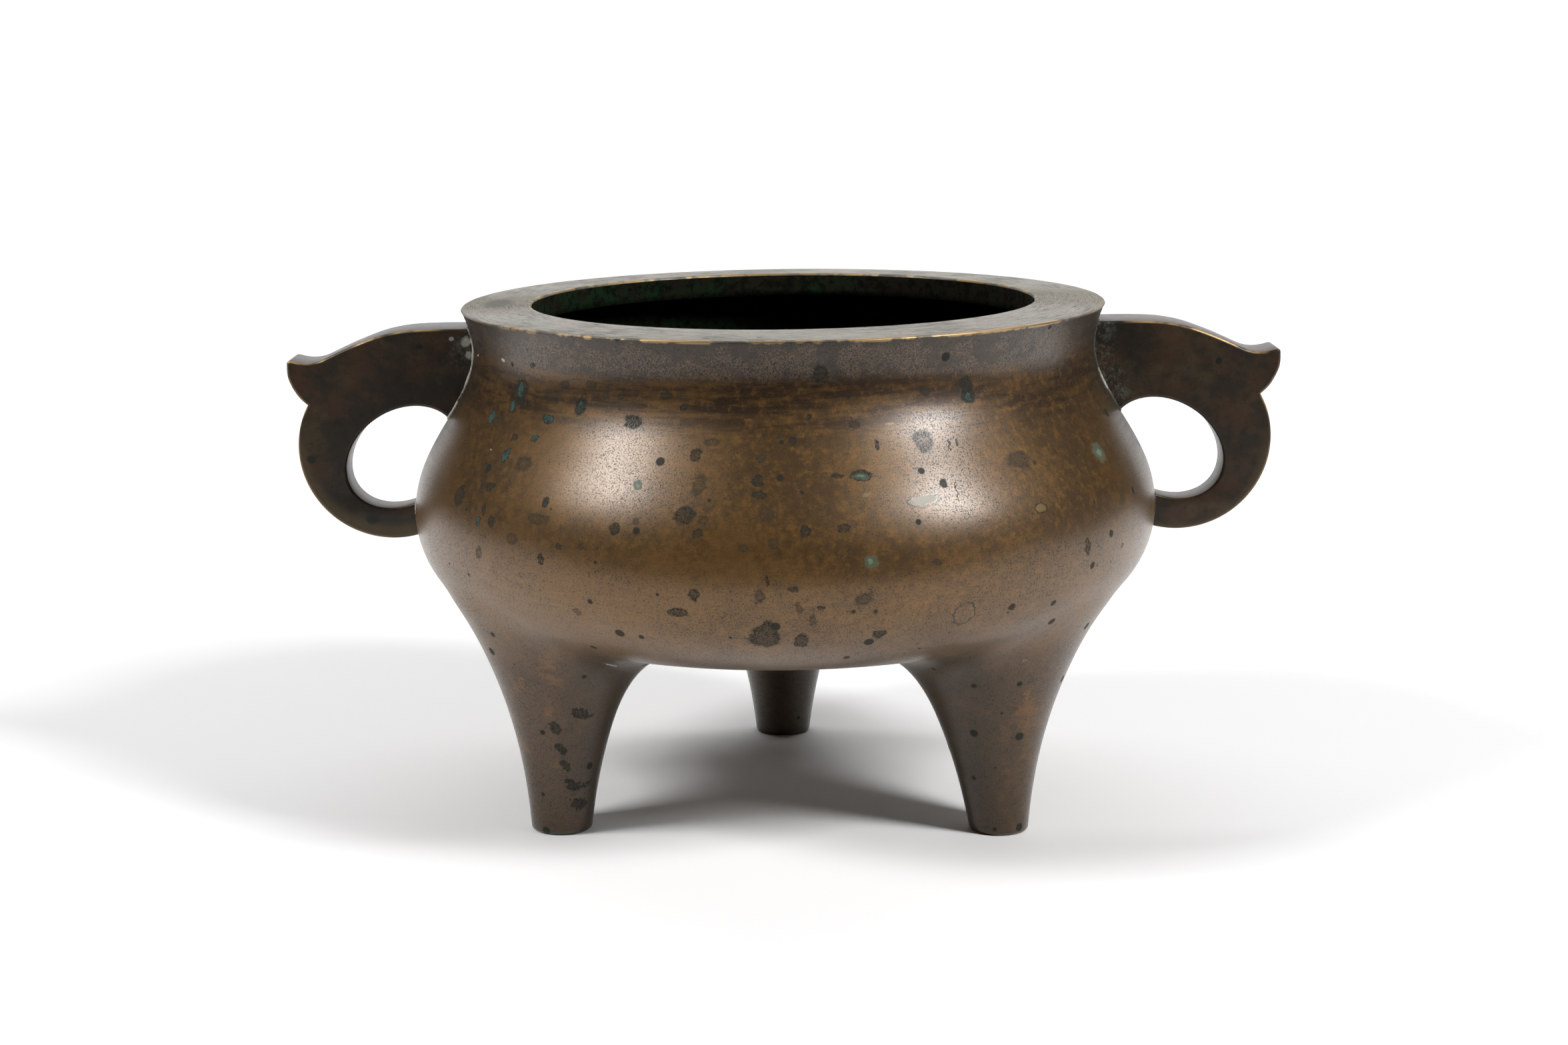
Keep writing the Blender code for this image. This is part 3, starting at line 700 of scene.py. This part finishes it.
stipple = cast.step(grain, 0.40, 0.56, 0.50, 1.0)
patina = cast.most(dark_spot, cast.times(soft_spot, 0.80))
patina = cast.times(patina, stipple)
patina = cast.most(patina, cast.times(speck, 0.90))
patina = cast.most(patina, cast.times(pore_dots, cast.step(cloudy, 0.38, 0.60, 0.75, 0.45)))
patina = cast.most(patina, cast.times(green_spot, 0.90))
colour = cast.mix(patina, colour, BLACK_PATINA)
colour = cast.mix(green_heart, colour, VERDIGRIS)
halo_colour = cast.mix(cast.step(halo_near, 0.50, 0.25), GREY_GREEN, MINT)
colour = cast.mix(cast.times(halo, 0.7), colour, halo_colour)
colour = cast.mix(golden_spot, colour, OLIVE_GOLD)
colour = cast.mix(pale_spot, colour, PALE_CRUST)
colour = cast.mix(cast.times(outline, 0.85), colour, BLACK_PATINA)

# The left foot has a green crust along its edge.
foot_green = cast.times(cast.step(height, *FOOT_CRUST), cast.step(own_x, -0.030, -0.040))
colour = cast.mix(cast.times(foot_green, 0.7), colour, VERDIGRIS)

# The lip's upper face is painted pale grey, a painted reflection of the bright backdrop seen at a grazing
# angle; it is scratched round its axis, with a smudge on the left.
on_rim = cast.step(height, LIP_HEIGHT - 0.0005, LIP_HEIGHT - 0.0001)
rim_scratch = cast.noise(cast.mapped(around, scale=(130, 3400, 3400)), 1.0, 2, 0.8)
rim_dirt = cast.step(cast.plus(rim_scratch, cast.step(clouds, 0.40, 0.62, -0.05, 0.06)), 0.42, 0.66)
smudge = cast.mapped(cast.mapped(place, (0.0712, 0.0, 0.0)), scale=(280, 110, 0))
smudge = cast.step(cast.plus(cast.vector_maths("LENGTH", smudge), rough_edge), 1.3, 0.7)
rim_dirt = cast.most(rim_dirt, smudge)
rim_dirt = cast.times(rim_dirt, on_rim)
rim_green = cast.mapped(cast.mapped(place, (0.0596, 0.0386, 0.0)), scale=(280, 800, 0))
rim_green = cast.step(cast.plus(cast.vector_maths("LENGTH", rim_green), rough_edge), 1.3, 0.6)
rim_reflection_and_smudges = cast.mix(cast.times(rim_dirt, 0.75), RIM_REFLECTION_GREY, BLACK_PATINA)
rim_reflection_and_smudges = cast.mix(cast.times(rim_green, 0.6), rim_reflection_and_smudges, MINT)
colour = cast.mix(on_rim, colour, rim_reflection_and_smudges)


def worn(edge_radius, edge_height, low, high):
    """Where metal shows, with gaps, along an edge that runs round the bowl."""
    from_edge = cast.distance(cast.minus(radius, edge_radius), cast.minus(height, edge_height))
    gaps = cast.step(wear_noise, low, high, 0.0, WEAR_REACH)
    return cast.step(cast.plus(from_edge, gaps), WEAR_REACH, WEAR_HEART)


wear_noise = cast.noise(place, 110, 3, 0.78)
lip_wear = worn(LIP_RADIUS, LIP_HEIGHT, 0.42, 0.66)
lip_wear = cast.times(lip_wear, cast.step(cast.maths("ABSOLUTE", own_x), 0.072, 0.060, 0.15, 1.0))
mouth_wear = worn(MOUTH_RADIUS, LIP_HEIGHT + MOUTH_RISE, 0.40, 0.62)
wear = cast.most(lip_wear, cast.times(mouth_wear, 0.7))
colour = cast.mix(wear, colour, RUBBED_GOLD)

# Waxed metal is glossy, and crust is dull.
crusted = cast.most(patina, cast.most(green_spot, pale_spot))
crusted = cast.most(crusted, cast.times(halo, 0.7))
crusted = cast.most(crusted, cast.times(rim_dirt, 0.7))
crusted = cast.most(crusted, cast.times(joint_shade_and_stain, 0.7))
metal = cast.step(crusted, 0.0, 1.0, 0.55, 0.1)
metal = cast.most(metal, cast.times(wear, 0.9))
gloss = cast.plus(cast.step(fine_clouds, 0.3, 0.7, 0.43, 0.53), cast.times(crusted, 0.24))
gloss = cast.minus(gloss, cast.times(wear, 0.15))
wax = cast.step(crusted, 0.0, 1.0, 1.0, 0.10)
wax = cast.times(wax, cast.step(on_rim, 0.0, 1.0, 1.0, 0.5))
cast.surface({"Base Color": colour, "Metallic": metal, "Roughness": gloss, "Coat Weight": wax,
              "Coat Roughness": 0.28, "Coat IOR": 1.42, "Specular IOR Level": 0.3})

relief = cast.times(cast.noise(place, 55, 1, 0.5), 0.00025)
relief = cast.minus(relief, cast.times(pore_dots, 0.000008))
relief = cast.plus(relief, cast.times(grain, 0.000016))
cast.surface({"Coat Normal": cast.lift(relief, BUMP_STRENGTH)})
body_mesh.materials.append(cast.material)

# The inside's finish
# The bowl was never polished within. A dry black crust of soot and old ash clings to its wall and floor,
# stained brown and, more on the left, green.
SOOT = (0.004, 0.0045, 0.003)
INSIDE_BROWN = (0.012, 0.011, 0.007)
INSIDE_GREEN = (0.008, 0.019, 0.008)
sooty = Finish("sooty_inside")
stains = sooty.noise(sooty.place, 90, 4, 0.74)
fine_stains = sooty.noise(sooty.place, 420, 3, 0.78)
greener = sooty.step(sooty.parts(sooty.place)[0], 0.03, -0.05, -0.06, 0.08)
ash_colour = sooty.mix(sooty.step(sooty.plus(stains, greener), 0.48, 0.62), INSIDE_BROWN, INSIDE_GREEN)
ash_colour = sooty.mix(sooty.step(fine_stains, 0.44, 0.62, 0.0, 0.9), ash_colour, SOOT)
sooty.surface({"Base Color": ash_colour, "Roughness": 0.95, "Specular IOR Level": 0.04})
sooty.lift(sooty.times(fine_stains, 0.0002))
body_mesh.materials.append(sooty.material)

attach(body, "root")
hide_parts("censer_body")

# The handles
# Two flat bronze castings in the outline of a fish whose tail curls into a ring for one finger. They are
# thicker along the fish's back, and were filed smooth and then soldered to neck and belly.
RING_RADIUS = 0.0231
RING_CENTRE_X = 0.0985
RING_CENTRE_HEIGHT = 0.0920
RING_START = 29
RING_END = -118
FINGER_HOLE_X = 0.0956
FINGER_HOLE_HEIGHT = 0.0897
FINGER_HOLE_HALF_WIDTH = 0.0138
FINGER_HOLE_HALF_HEIGHT = 0.0130
FINGER_HOLE_SLANT = 0.28
HANDLE_TOP_THICKNESS = 0.0156
HANDLE_FOOT_THICKNESS = 0.0084
HANDLE_EDGE_ROUNDING = 0.0007
FISH_BACK_SHARE = 1.30
FISH_BACK = ((-0.95, FISH_BACK_SHARE), (-0.80, FISH_BACK_SHARE), (-0.50, FISH_BACK_SHARE), (-0.195, 1.285),
             (0.065, 1.235), (0.325, 1.143), (0.54, 1.05), (0.715, 0.97), (0.835, 0.945), (0.94, 0.952),
             (1.035, 0.974))
FISH_SNOUT = ((1.035, 0.974), (1.068, 0.965), (1.078, 0.925), (1.074, 0.80), (1.03, 0.68), (0.96, 0.567),
              (0.875, 0.485))
SUNK_IN_WALL = 0.0004
CORE_TIP_RADIUS = 0.0010
FLAT_NORMAL = 0.99
HANDLE_BROWN = (0.021, 0.015, 0.009)
HANDLE_RED = (0.044, 0.023, 0.011)
HANDLE_OLIVE = (0.085, 0.058, 0.026)
GREY_CRUST = (0.120, 0.132, 0.116)

# Marks on the handles' faces: place across and height, half width and half height, in millimetres.
HANDLE_PITS = (
    (-118.2, 88.1, 1.0, 1.0), (-90.2, 116.7, 0.9, 0.7), (-103.5, 72.6, 1.6, 1.2), (108.0, 113.0, 0.8, 0.8),
)
FILLER_BLOTCHES = (
    (-78.6, 117.8, 1.3, 1.4), (-78.2, 114.4, 0.8, 1.0), (-82.3, 118.6, 0.6, 0.5), (78.8, 97.5, 0.8, 2.4),
)


def smooth_run(points, steps):
    """A smooth run through points, with further points between each two."""
    points = np.array(points)
    ends = np.vstack([2 * points[0] - points[1], points, 2 * points[-1] - points[-2]])
    run = []
    for k in range(1, len(ends) - 2):
        before, start, end, after = ends[k - 1:k + 3]
        for share in np.arange(steps) / steps:
            run.append(0.5 * (2 * start + (end - before) * share
                              + (2 * before - 5 * start + 4 * end - after) * share ** 2
                              + (3 * start - before - 3 * end + after) * share ** 3))
    return np.array([*run, points[-1]])


ring_centre = np.array([RING_CENTRE_X, RING_CENTRE_HEIGHT])
fish_back = ring_centre + RING_RADIUS * smooth_run(FISH_BACK, 6)
fish_snout = ring_centre + RING_RADIUS * smooth_run(FISH_SNOUT, 5)
ring_angles = np.radians(np.linspace(RING_START, RING_END, 80))
fish_ring = ring_centre + RING_RADIUS * np.column_stack([np.cos(ring_angles), np.sin(ring_angles)])
inner_reach = NECK_RADIUS - 2 * WALL
fish_run = np.vstack([[[inner_reach, fish_back[0, 1]]], fish_back, fish_snout[1:-1], fish_ring,
                      [[inner_reach, fish_ring[-1, 1]]]])
hole_angles = 2 * pi * np.arange(72) / 72
hole_lift = FINGER_HOLE_HALF_HEIGHT * np.sin(hole_angles)
hole_run = np.column_stack([FINGER_HOLE_X + FINGER_HOLE_HALF_WIDTH * np.cos(hole_angles)
                            - FINGER_HOLE_SLANT * hole_lift, FINGER_HOLE_HEIGHT + hole_lift])
handle_foot = RING_CENTRE_HEIGHT - RING_RADIUS
handle_top = RING_CENTRE_HEIGHT + FISH_BACK_SHARE * RING_RADIUS


def handle_thickness(height):
    """How thick a handle is at a height, from face to face."""
    share = (height - handle_foot) / (handle_top - handle_foot)
    return HANDLE_FOOT_THICKNESS + (HANDLE_TOP_THICKNESS - HANDLE_FOOT_THICKNESS) * share


def outside_radius(height):
    """The bowl's outside radius at any height."""
    return np.interp(height, outside_profile[::-1, 1], outside_profile[::-1, 0])


# The bowl's outside, a little smaller: what the handles are cut off with.
core = Skin()
core_top = core.add_middle(LIP_HEIGHT)
core_rings = [core.add_ring(max(radius - SUNK_IN_WALL, CORE_TIP_RADIUS), height, BOWL_SIDES)
              for radius, height in outside_profile[:-1]]
core_foot = core.add_middle(BASE_HEIGHT + SUNK_IN_WALL)
for upper, lower in zip(core_rings[:-1], core_rings[1:]):
    core.join(upper, lower)
core.close(core_rings[0][::-1], core_top)
core.close(core_rings[-1], core_foot)
core_item = solid_piece("bowl_core", core.points, core.faces)


def make_handle(name, side):
    """A flat casting with rounded edges, thinner towards its foot, cut off where the bowl begins."""
    curve = bpy.data.curves.new(name + "_outline", "CURVE")
    curve.dimensions = "2D"
    curve.fill_mode = "BOTH"
    curve.extrude = HANDLE_TOP_THICKNESS / 2 - HANDLE_EDGE_ROUNDING
    curve.bevel_depth = HANDLE_EDGE_ROUNDING
    curve.bevel_resolution = 2
    curve.offset = -HANDLE_EDGE_ROUNDING
    for run in (fish_run, hole_run):
        spline = curve.splines.new("POLY")
        spline.points.add(len(run) - 1)
        for target, (reach, height) in zip(spline.points, run):
            target.co = (side * reach, height, 0.0, 1.0)
        spline.use_cyclic_u = True
    outline = bpy.data.objects.new(name + "_outline", curve)
    outline.rotation_euler = (pi / 2, 0.0, 0.0)
    bpy.context.scene.collection.objects.link(outline)
    bpy.context.view_layer.update()
    evaluated = outline.evaluated_get(bpy.context.evaluated_depsgraph_get())
    mesh = bpy.data.meshes.new_from_object(evaluated)
    mesh.transform(outline.matrix_world)
    bpy.data.objects.remove(outline, do_unlink=True)
    work = bmesh.new()
    work.from_mesh(mesh)
    bmesh.ops.remove_doubles(work, verts=work.verts[:], dist=0.00001)
    bmesh.ops.recalc_face_normals(work, faces=work.faces[:])
    for vertex in work.verts:
        vertex.co.y *= handle_thickness(vertex.co.z) / HANDLE_TOP_THICKNESS
    work.transform(lean)
    work.to_mesh(mesh)
    work.free()
    item = bpy.data.objects.new(name, mesh)
    bpy.context.scene.collection.objects.link(item)

    # Cut off at the bowl.
    cut = item.modifiers.new("cut", "BOOLEAN")
    cut.operation = "DIFFERENCE"
    cut.object = core_item
    cut.solver = "EXACT"
    bpy.context.view_layer.update()
    evaluated = item.evaluated_get(bpy.context.evaluated_depsgraph_get())
    mesh = bpy.data.meshes.new_from_object(evaluated)
    item.modifiers.clear()
    item.data = mesh
    mesh.name = name

    # Smooth all over, but for the lines where a flat side begins.
    mesh.shade_smooth()
    work = bmesh.new()
    work.from_mesh(mesh)
    for edge in work.edges:
        if sum(abs(face.normal.y) > FLAT_NORMAL for face in edge.link_faces) == 1:
            edge.smooth = False
    work.to_mesh(mesh)
    work.free()
    return item


dark = Finish("dark_patinated_bronze")
place = dark.place
along, _, height = dark.parts(place)
reach = dark.maths("ABSOLUTE", along)
clouds = dark.noise(place, 120, 5, 0.66)
fine_clouds = dark.noise(place, 600, 4, 0.65)
specks = dark.noise(place, 1900, 3, 0.7)

# A very dark brown, clouded in red and olive.
colour = dark.mix(dark.step(clouds, 0.42, 0.62), HANDLE_BROWN, HANDLE_RED)
colour = dark.mix(dark.step(dark.noise(place, 75, 3, 0.7), 0.52, 0.66, 0.0, 0.35), colour, HANDLE_OLIVE)
colour = dark.mix(dark.step(fine_clouds, 0.50, 0.70, 0.0, 0.5), colour, BLACK_PATINA)
colour = dark.mix(dark.step(specks, 0.60, 0.75, 0.0, 0.5), colour, HANDLE_RED)
from_ring = dark.distance(dark.minus(reach, RING_CENTRE_X), dark.minus(height, RING_CENTRE_HEIGHT))
ring_rim = dark.step(from_ring, RING_RADIUS - 0.0035, RING_RADIUS - 0.0005)
ring_rim = dark.times(ring_rim, dark.step(height, 0.098, 0.086))
colour = dark.mix(dark.times(ring_rim, 0.7), colour, HANDLE_OLIVE)

# Grey crust has crept from the joints over the handles' roots.
joint_distance = dark.minus(reach, dark.step(height, 0.122, 0.100, 0.0785, 0.0845))
crust_zone = dark.step(dark.plus(joint_distance, dark.times(clouds, 0.008)), 0.0085, 0.0040)
crust_side = dark.most(dark.step(height, 0.108, 0.115), dark.step(along, -0.01, 0.01))
crust_zone = dark.times(crust_zone, crust_side)
crust_bits = dark.step(dark.noise(place, 700, 4, 0.8), 0.44, 0.70)
colour = dark.mix(dark.times(crust_zone, dark.times(crust_bits, 0.60)), colour, GREY_CRUST)


def handle_marks(spots):
    """Centres and sizes of marks that go right through from face to face."""
    return [((x / 1000, 0.0, z / 1000), (half_width / 1000, inf, half_height / 1000))
            for x, z, half_width, half_height in spots]


frayed = dark.minus(dark.times(fine_clouds, 1.6), 0.8)
pits = dark.step(dark.plus(dark.nearest(place, handle_marks(HANDLE_PITS)), frayed), 1.3, 0.7)
blotches = dark.step(dark.plus(dark.nearest(place, handle_marks(FILLER_BLOTCHES)), frayed), 1.3, 0.6)
colour = dark.mix(dark.times(pits, 0.85), colour, BLACK_PATINA)
colour = dark.mix(dark.times(blotches, 0.8), colour, PALE_CRUST)

# Along the fish's back and the ring's outside the edges are rubbed golden.
_, facing_front, facing_up = dark.parts(dark.node("ShaderNodeNewGeometry").outputs["Normal"])
flat_share = dark.maths("ABSOLUTE", facing_front)
edge = dark.times(dark.step(flat_share, 0.10, 0.45), dark.step(flat_share, 0.97, 0.85))
upper_edge = dark.step(facing_up, 0.02, 0.25)
outer_edge = dark.times(dark.step(from_ring, 0.0205, 0.0225), 0.35)
rubbed = dark.times(edge, dark.most(upper_edge, outer_edge))
rubbed = dark.times(rubbed, dark.step(dark.noise(place, 90, 3, 0.7), 0.38, 0.56))
rubbed = dark.times(rubbed, dark.step(from_ring, 0.0180, 0.0200))
rubbed = dark.times(rubbed, dark.step(reach, 0.082, 0.090))
colour = dark.mix(rubbed, colour, RUBBED_GOLD)
metal = dark.step(rubbed, 0.0, 1.0, 0.60, 0.95)
gloss = dark.step(fine_clouds, 0.3, 0.7, 0.46, 0.56)
dark.surface({"Base Color": colour, "Metallic": metal, "Roughness": gloss, "Coat Weight": 0.5,
              "Coat Roughness": 0.30, "Coat IOR": 1.42, "Specular IOR Level": 0.3})

relief = dark.times(dark.noise(place, 90, 2, 0.5), 0.00025)
relief = dark.plus(relief, dark.times(specks, 0.00005))
relief = dark.plus(relief, dark.times(dark.times(crust_zone, crust_bits), 0.00012))
dark.lift(relief, BUMP_STRENGTH)

for handle_name, side in (("handle_left", -1), ("handle_right", 1)):
    handle = make_handle("fish_" + handle_name, side)
    handle.data.materials.clear()
    handle.data.materials.append(dark.material)
    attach(handle, "root")
    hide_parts(handle_name)
bpy.data.objects.remove(core_item, do_unlink=True)

# The joints' filler
# A thin uneven bead of solder and pale filler that runs round each handle's two feet on the bowl. It was
# wiped on by hand and has dirt in it, more of it on the right.
BEAD_RADIUS = 0.00055
BEAD_FLATNESS = 0.8
BEAD_SIDES = 10
FILLER_WHITE = (0.360, 0.345, 0.300)
FILLER_DIRT = (0.035, 0.032, 0.026)


def crossing_height(run):
    """Where a run of reach and height first dips under the bowl's outside."""
    depth = run[:, 0] - outside_radius(run[:, 1])
    k = int(np.argmax(depth < 0))
    share = depth[k - 1] / (depth[k - 1] - depth[k])
    return run[k - 1, 1] + (run[k, 1] - run[k - 1, 1]) * share


hole_top = crossing_height(hole_run[18:40])
hole_foot = crossing_height(hole_run[36:60][::-1])
ring_foot = crossing_height(fish_ring)


def joint_path(side, low, high):
    """Points round one foot of a handle, on the bowl's outside."""
    rise = np.linspace(low, high, 40)
    front = np.column_stack([-handle_thickness(rise) / 2, rise])
    back = front[::-1] * (-1, 1)
    over = np.linspace(-1, 1, 14)[1:-1, None] * [handle_thickness(high) / 2, 0] + [0, high]
    under = np.linspace(1, -1, 14)[1:-1, None] * [handle_thickness(low) / 2, 0] + [0, low]
    path = np.vstack([front, over, back, under])
    reach = np.sqrt(outside_radius(path[:, 1]) ** 2 - path[:, 0] ** 2)
    return np.column_stack([side * reach, path]) @ lean_turn.T + lean_shift


rng = np.random.default_rng(7)


def make_bead(name, path):
    """A closed bead along a closed path, a little thicker here and thinner there."""
    path = np.asarray(path)
    count = len(path)
    sizes = rng.uniform(0.65, 1.35, count)
    sizes = (sizes + np.roll(sizes, 1) + np.roll(sizes, -1)) / 3 * BEAD_RADIUS
    ahead = np.roll(path, -1, axis=0) - np.roll(path, 1, axis=0)
    ahead /= np.linalg.norm(ahead, axis=1)[:, None]
    out = path * (1, 1, 0)
    out /= np.linalg.norm(out, axis=1)[:, None]
    out -= ahead * np.sum(out * ahead, axis=1)[:, None]
    out /= np.linalg.norm(out, axis=1)[:, None]
    across = np.cross(ahead, out)
    points = []
    for angle in 2 * pi * np.arange(BEAD_SIDES) / BEAD_SIDES:
        points.append(path + sizes[:, None] * (out * sin(angle) * BEAD_FLATNESS + across * cos(angle)))
    points = np.array(points).transpose(1, 0, 2).reshape(-1, 3)
    faces = []
    for ring in range(count):
        first = ring * BEAD_SIDES
        after = (ring + 1) % count * BEAD_SIDES
        for side in range(BEAD_SIDES):
            beside = (side + 1) % BEAD_SIDES
            faces.append((first + side, after + side, after + beside, first + beside))
    return solid_piece(name, points, faces)


filler = Finish("pale_filler")
dirt = filler.noise(filler.place, 500, 4, 0.7)
patches = filler.noise(filler.place, 110, 3, 0.6)
whiter = filler.step(filler.parts(filler.place)[0], 0.02, -0.02, -0.07, 0.07)
pale = filler.step(filler.plus(filler.plus(patches, whiter), filler.times(dirt, 0.5)), 0.70, 0.86)
filler.surface({"Base Color": filler.mix(pale, FILLER_DIRT, FILLER_WHITE), "Roughness": 0.75})
filler.lift(filler.times(filler.noise(filler.place, 1500, 4, 0.7), 0.0002))

for side_name, side in (("left", -1), ("right", 1)):
    for part_name, low, high in (("upper", hole_top, fish_back[0, 1]), ("lower", ring_foot, hole_foot)):
        bead = make_bead(f"filler_{side_name}_{part_name}", joint_path(side, low, high))
        bead.data.materials.append(filler.material)
        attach(bead, "root")

# The floor
# One pale sheet of studio paper that lies flat under the censer and runs up behind it in a wide curve.
FLOOR_HALF_WIDTH = 1.6
PAPER_FRONT = -0.27
PAPER_FLAT_UNTIL = 1.2
SWEEP_RADIUS = 0.8
PAPER_TOP = 3.0
PAPER_WHITE = 0.93

sweep = [(PAPER_FRONT, 0.0), (PAPER_FLAT_UNTIL, 0.0)]
sweep += [(PAPER_FLAT_UNTIL + SWEEP_RADIUS * sin(angle), SWEEP_RADIUS * (1 - cos(angle)))
          for angle in np.linspace(0, pi / 2, 13)[1:]]
sweep.append((PAPER_FLAT_UNTIL + SWEEP_RADIUS, PAPER_TOP))
paper_mesh = bpy.data.meshes.new("studio_paper")
paper_points = [(side * FLOOR_HALF_WIDTH, y, z) for y, z in sweep for side in (-1, 1)]
paper_mesh.from_pydata(paper_points, [],
                       [(2 * k, 2 * k + 1, 2 * k + 3, 2 * k + 2) for k in range(len(sweep) - 1)])
paper_mesh.shade_smooth()
paper = bpy.data.objects.new("studio_paper", paper_mesh)
bpy.context.scene.collection.objects.link(paper)
paper_material = bpy.data.materials.new("studio_paper")
paper_material.use_nodes = True
paper_shader = paper_material.node_tree.nodes["Principled BSDF"]
paper_shader.inputs["Base Color"].default_value = (PAPER_WHITE, PAPER_WHITE, PAPER_WHITE, 1)
paper_shader.inputs["Roughness"].default_value = 0.9
paper_mesh.materials.append(paper_material)
paper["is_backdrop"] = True

# Light
# Two soft boxes, high on the left and on the right, and a wide one that whitens the paper behind. The
# room gives a little light of its own and is seen white past the paper.
ROOM_LIGHT = 0.02
world = bpy.data.worlds.new("studio")
bpy.context.scene.world = world
world.use_nodes = True
room = world.node_tree.nodes["Background"]
room.inputs["Color"].default_value = (0.95, 0.97, 1.0, 1)
seen = world.node_tree.nodes.new("ShaderNodeLightPath").outputs["Is Camera Ray"]
brightness = world.node_tree.nodes.new("ShaderNodeMapRange")
brightness.inputs["To Min"].default_value = ROOM_LIGHT
brightness.inputs["To Max"].default_value = 1.0
world.node_tree.links.new(seen, brightness.inputs["Value"])
world.node_tree.links.new(brightness.outputs["Result"], room.inputs["Strength"])


def soft_box(name, azimuth, elevation, distance, width, height, power, target=(0.0, 0.0, 0.07)):
    """A soft box that looks at the bowl; its azimuth runs from the front to the right."""
    lamp = bpy.data.lights.new(name, "AREA")
    lamp.shape = "RECTANGLE"
    lamp.size = width
    lamp.size_y = height
    lamp.energy = power
    box = bpy.data.objects.new(name, lamp)
    bearing = radians(azimuth)
    rise = radians(elevation)
    target = Vector(target)
    way_there = Vector((sin(bearing) * cos(rise), -cos(bearing) * cos(rise), sin(rise)))
    box.location = target + distance * way_there
    box.rotation_euler = (target - box.location).to_track_quat("-Z", "Y").to_euler()
    bpy.context.scene.collection.objects.link(box)


soft_box("soft_box_left", -66, 41, 1.5, 0.45, 0.34, 14.5)
soft_box("soft_box_right", 56, 37, 1.5, 0.34, 0.47, 21)
soft_box("paper_light", 0, 50, 1.3, 2.5, 0.6, 25.5, (0.0, 1.6, 0.4))
bpy.context.scene.view_settings.view_transform = "Standard"

# Camera
# It stands 0.7 m away and looks a little down on the censer, at the photo's own viewing angle.
CAMERA_PLACE = (0.0001, -0.7028, 0.2058)
CAMERA_PITCH = 0.189737
FOCAL_LENGTH = 64.84
camera_data = bpy.data.cameras.new("camera")
camera_data.sensor_width = 36.0
camera_data.lens = FOCAL_LENGTH
camera = bpy.data.objects.new("camera", camera_data)
camera.location = CAMERA_PLACE
camera.rotation_euler = (pi / 2 - CAMERA_PITCH, 0.0, 0.0)
bpy.context.scene.collection.objects.link(camera)
bpy.context.scene.camera = camera

low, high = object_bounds()
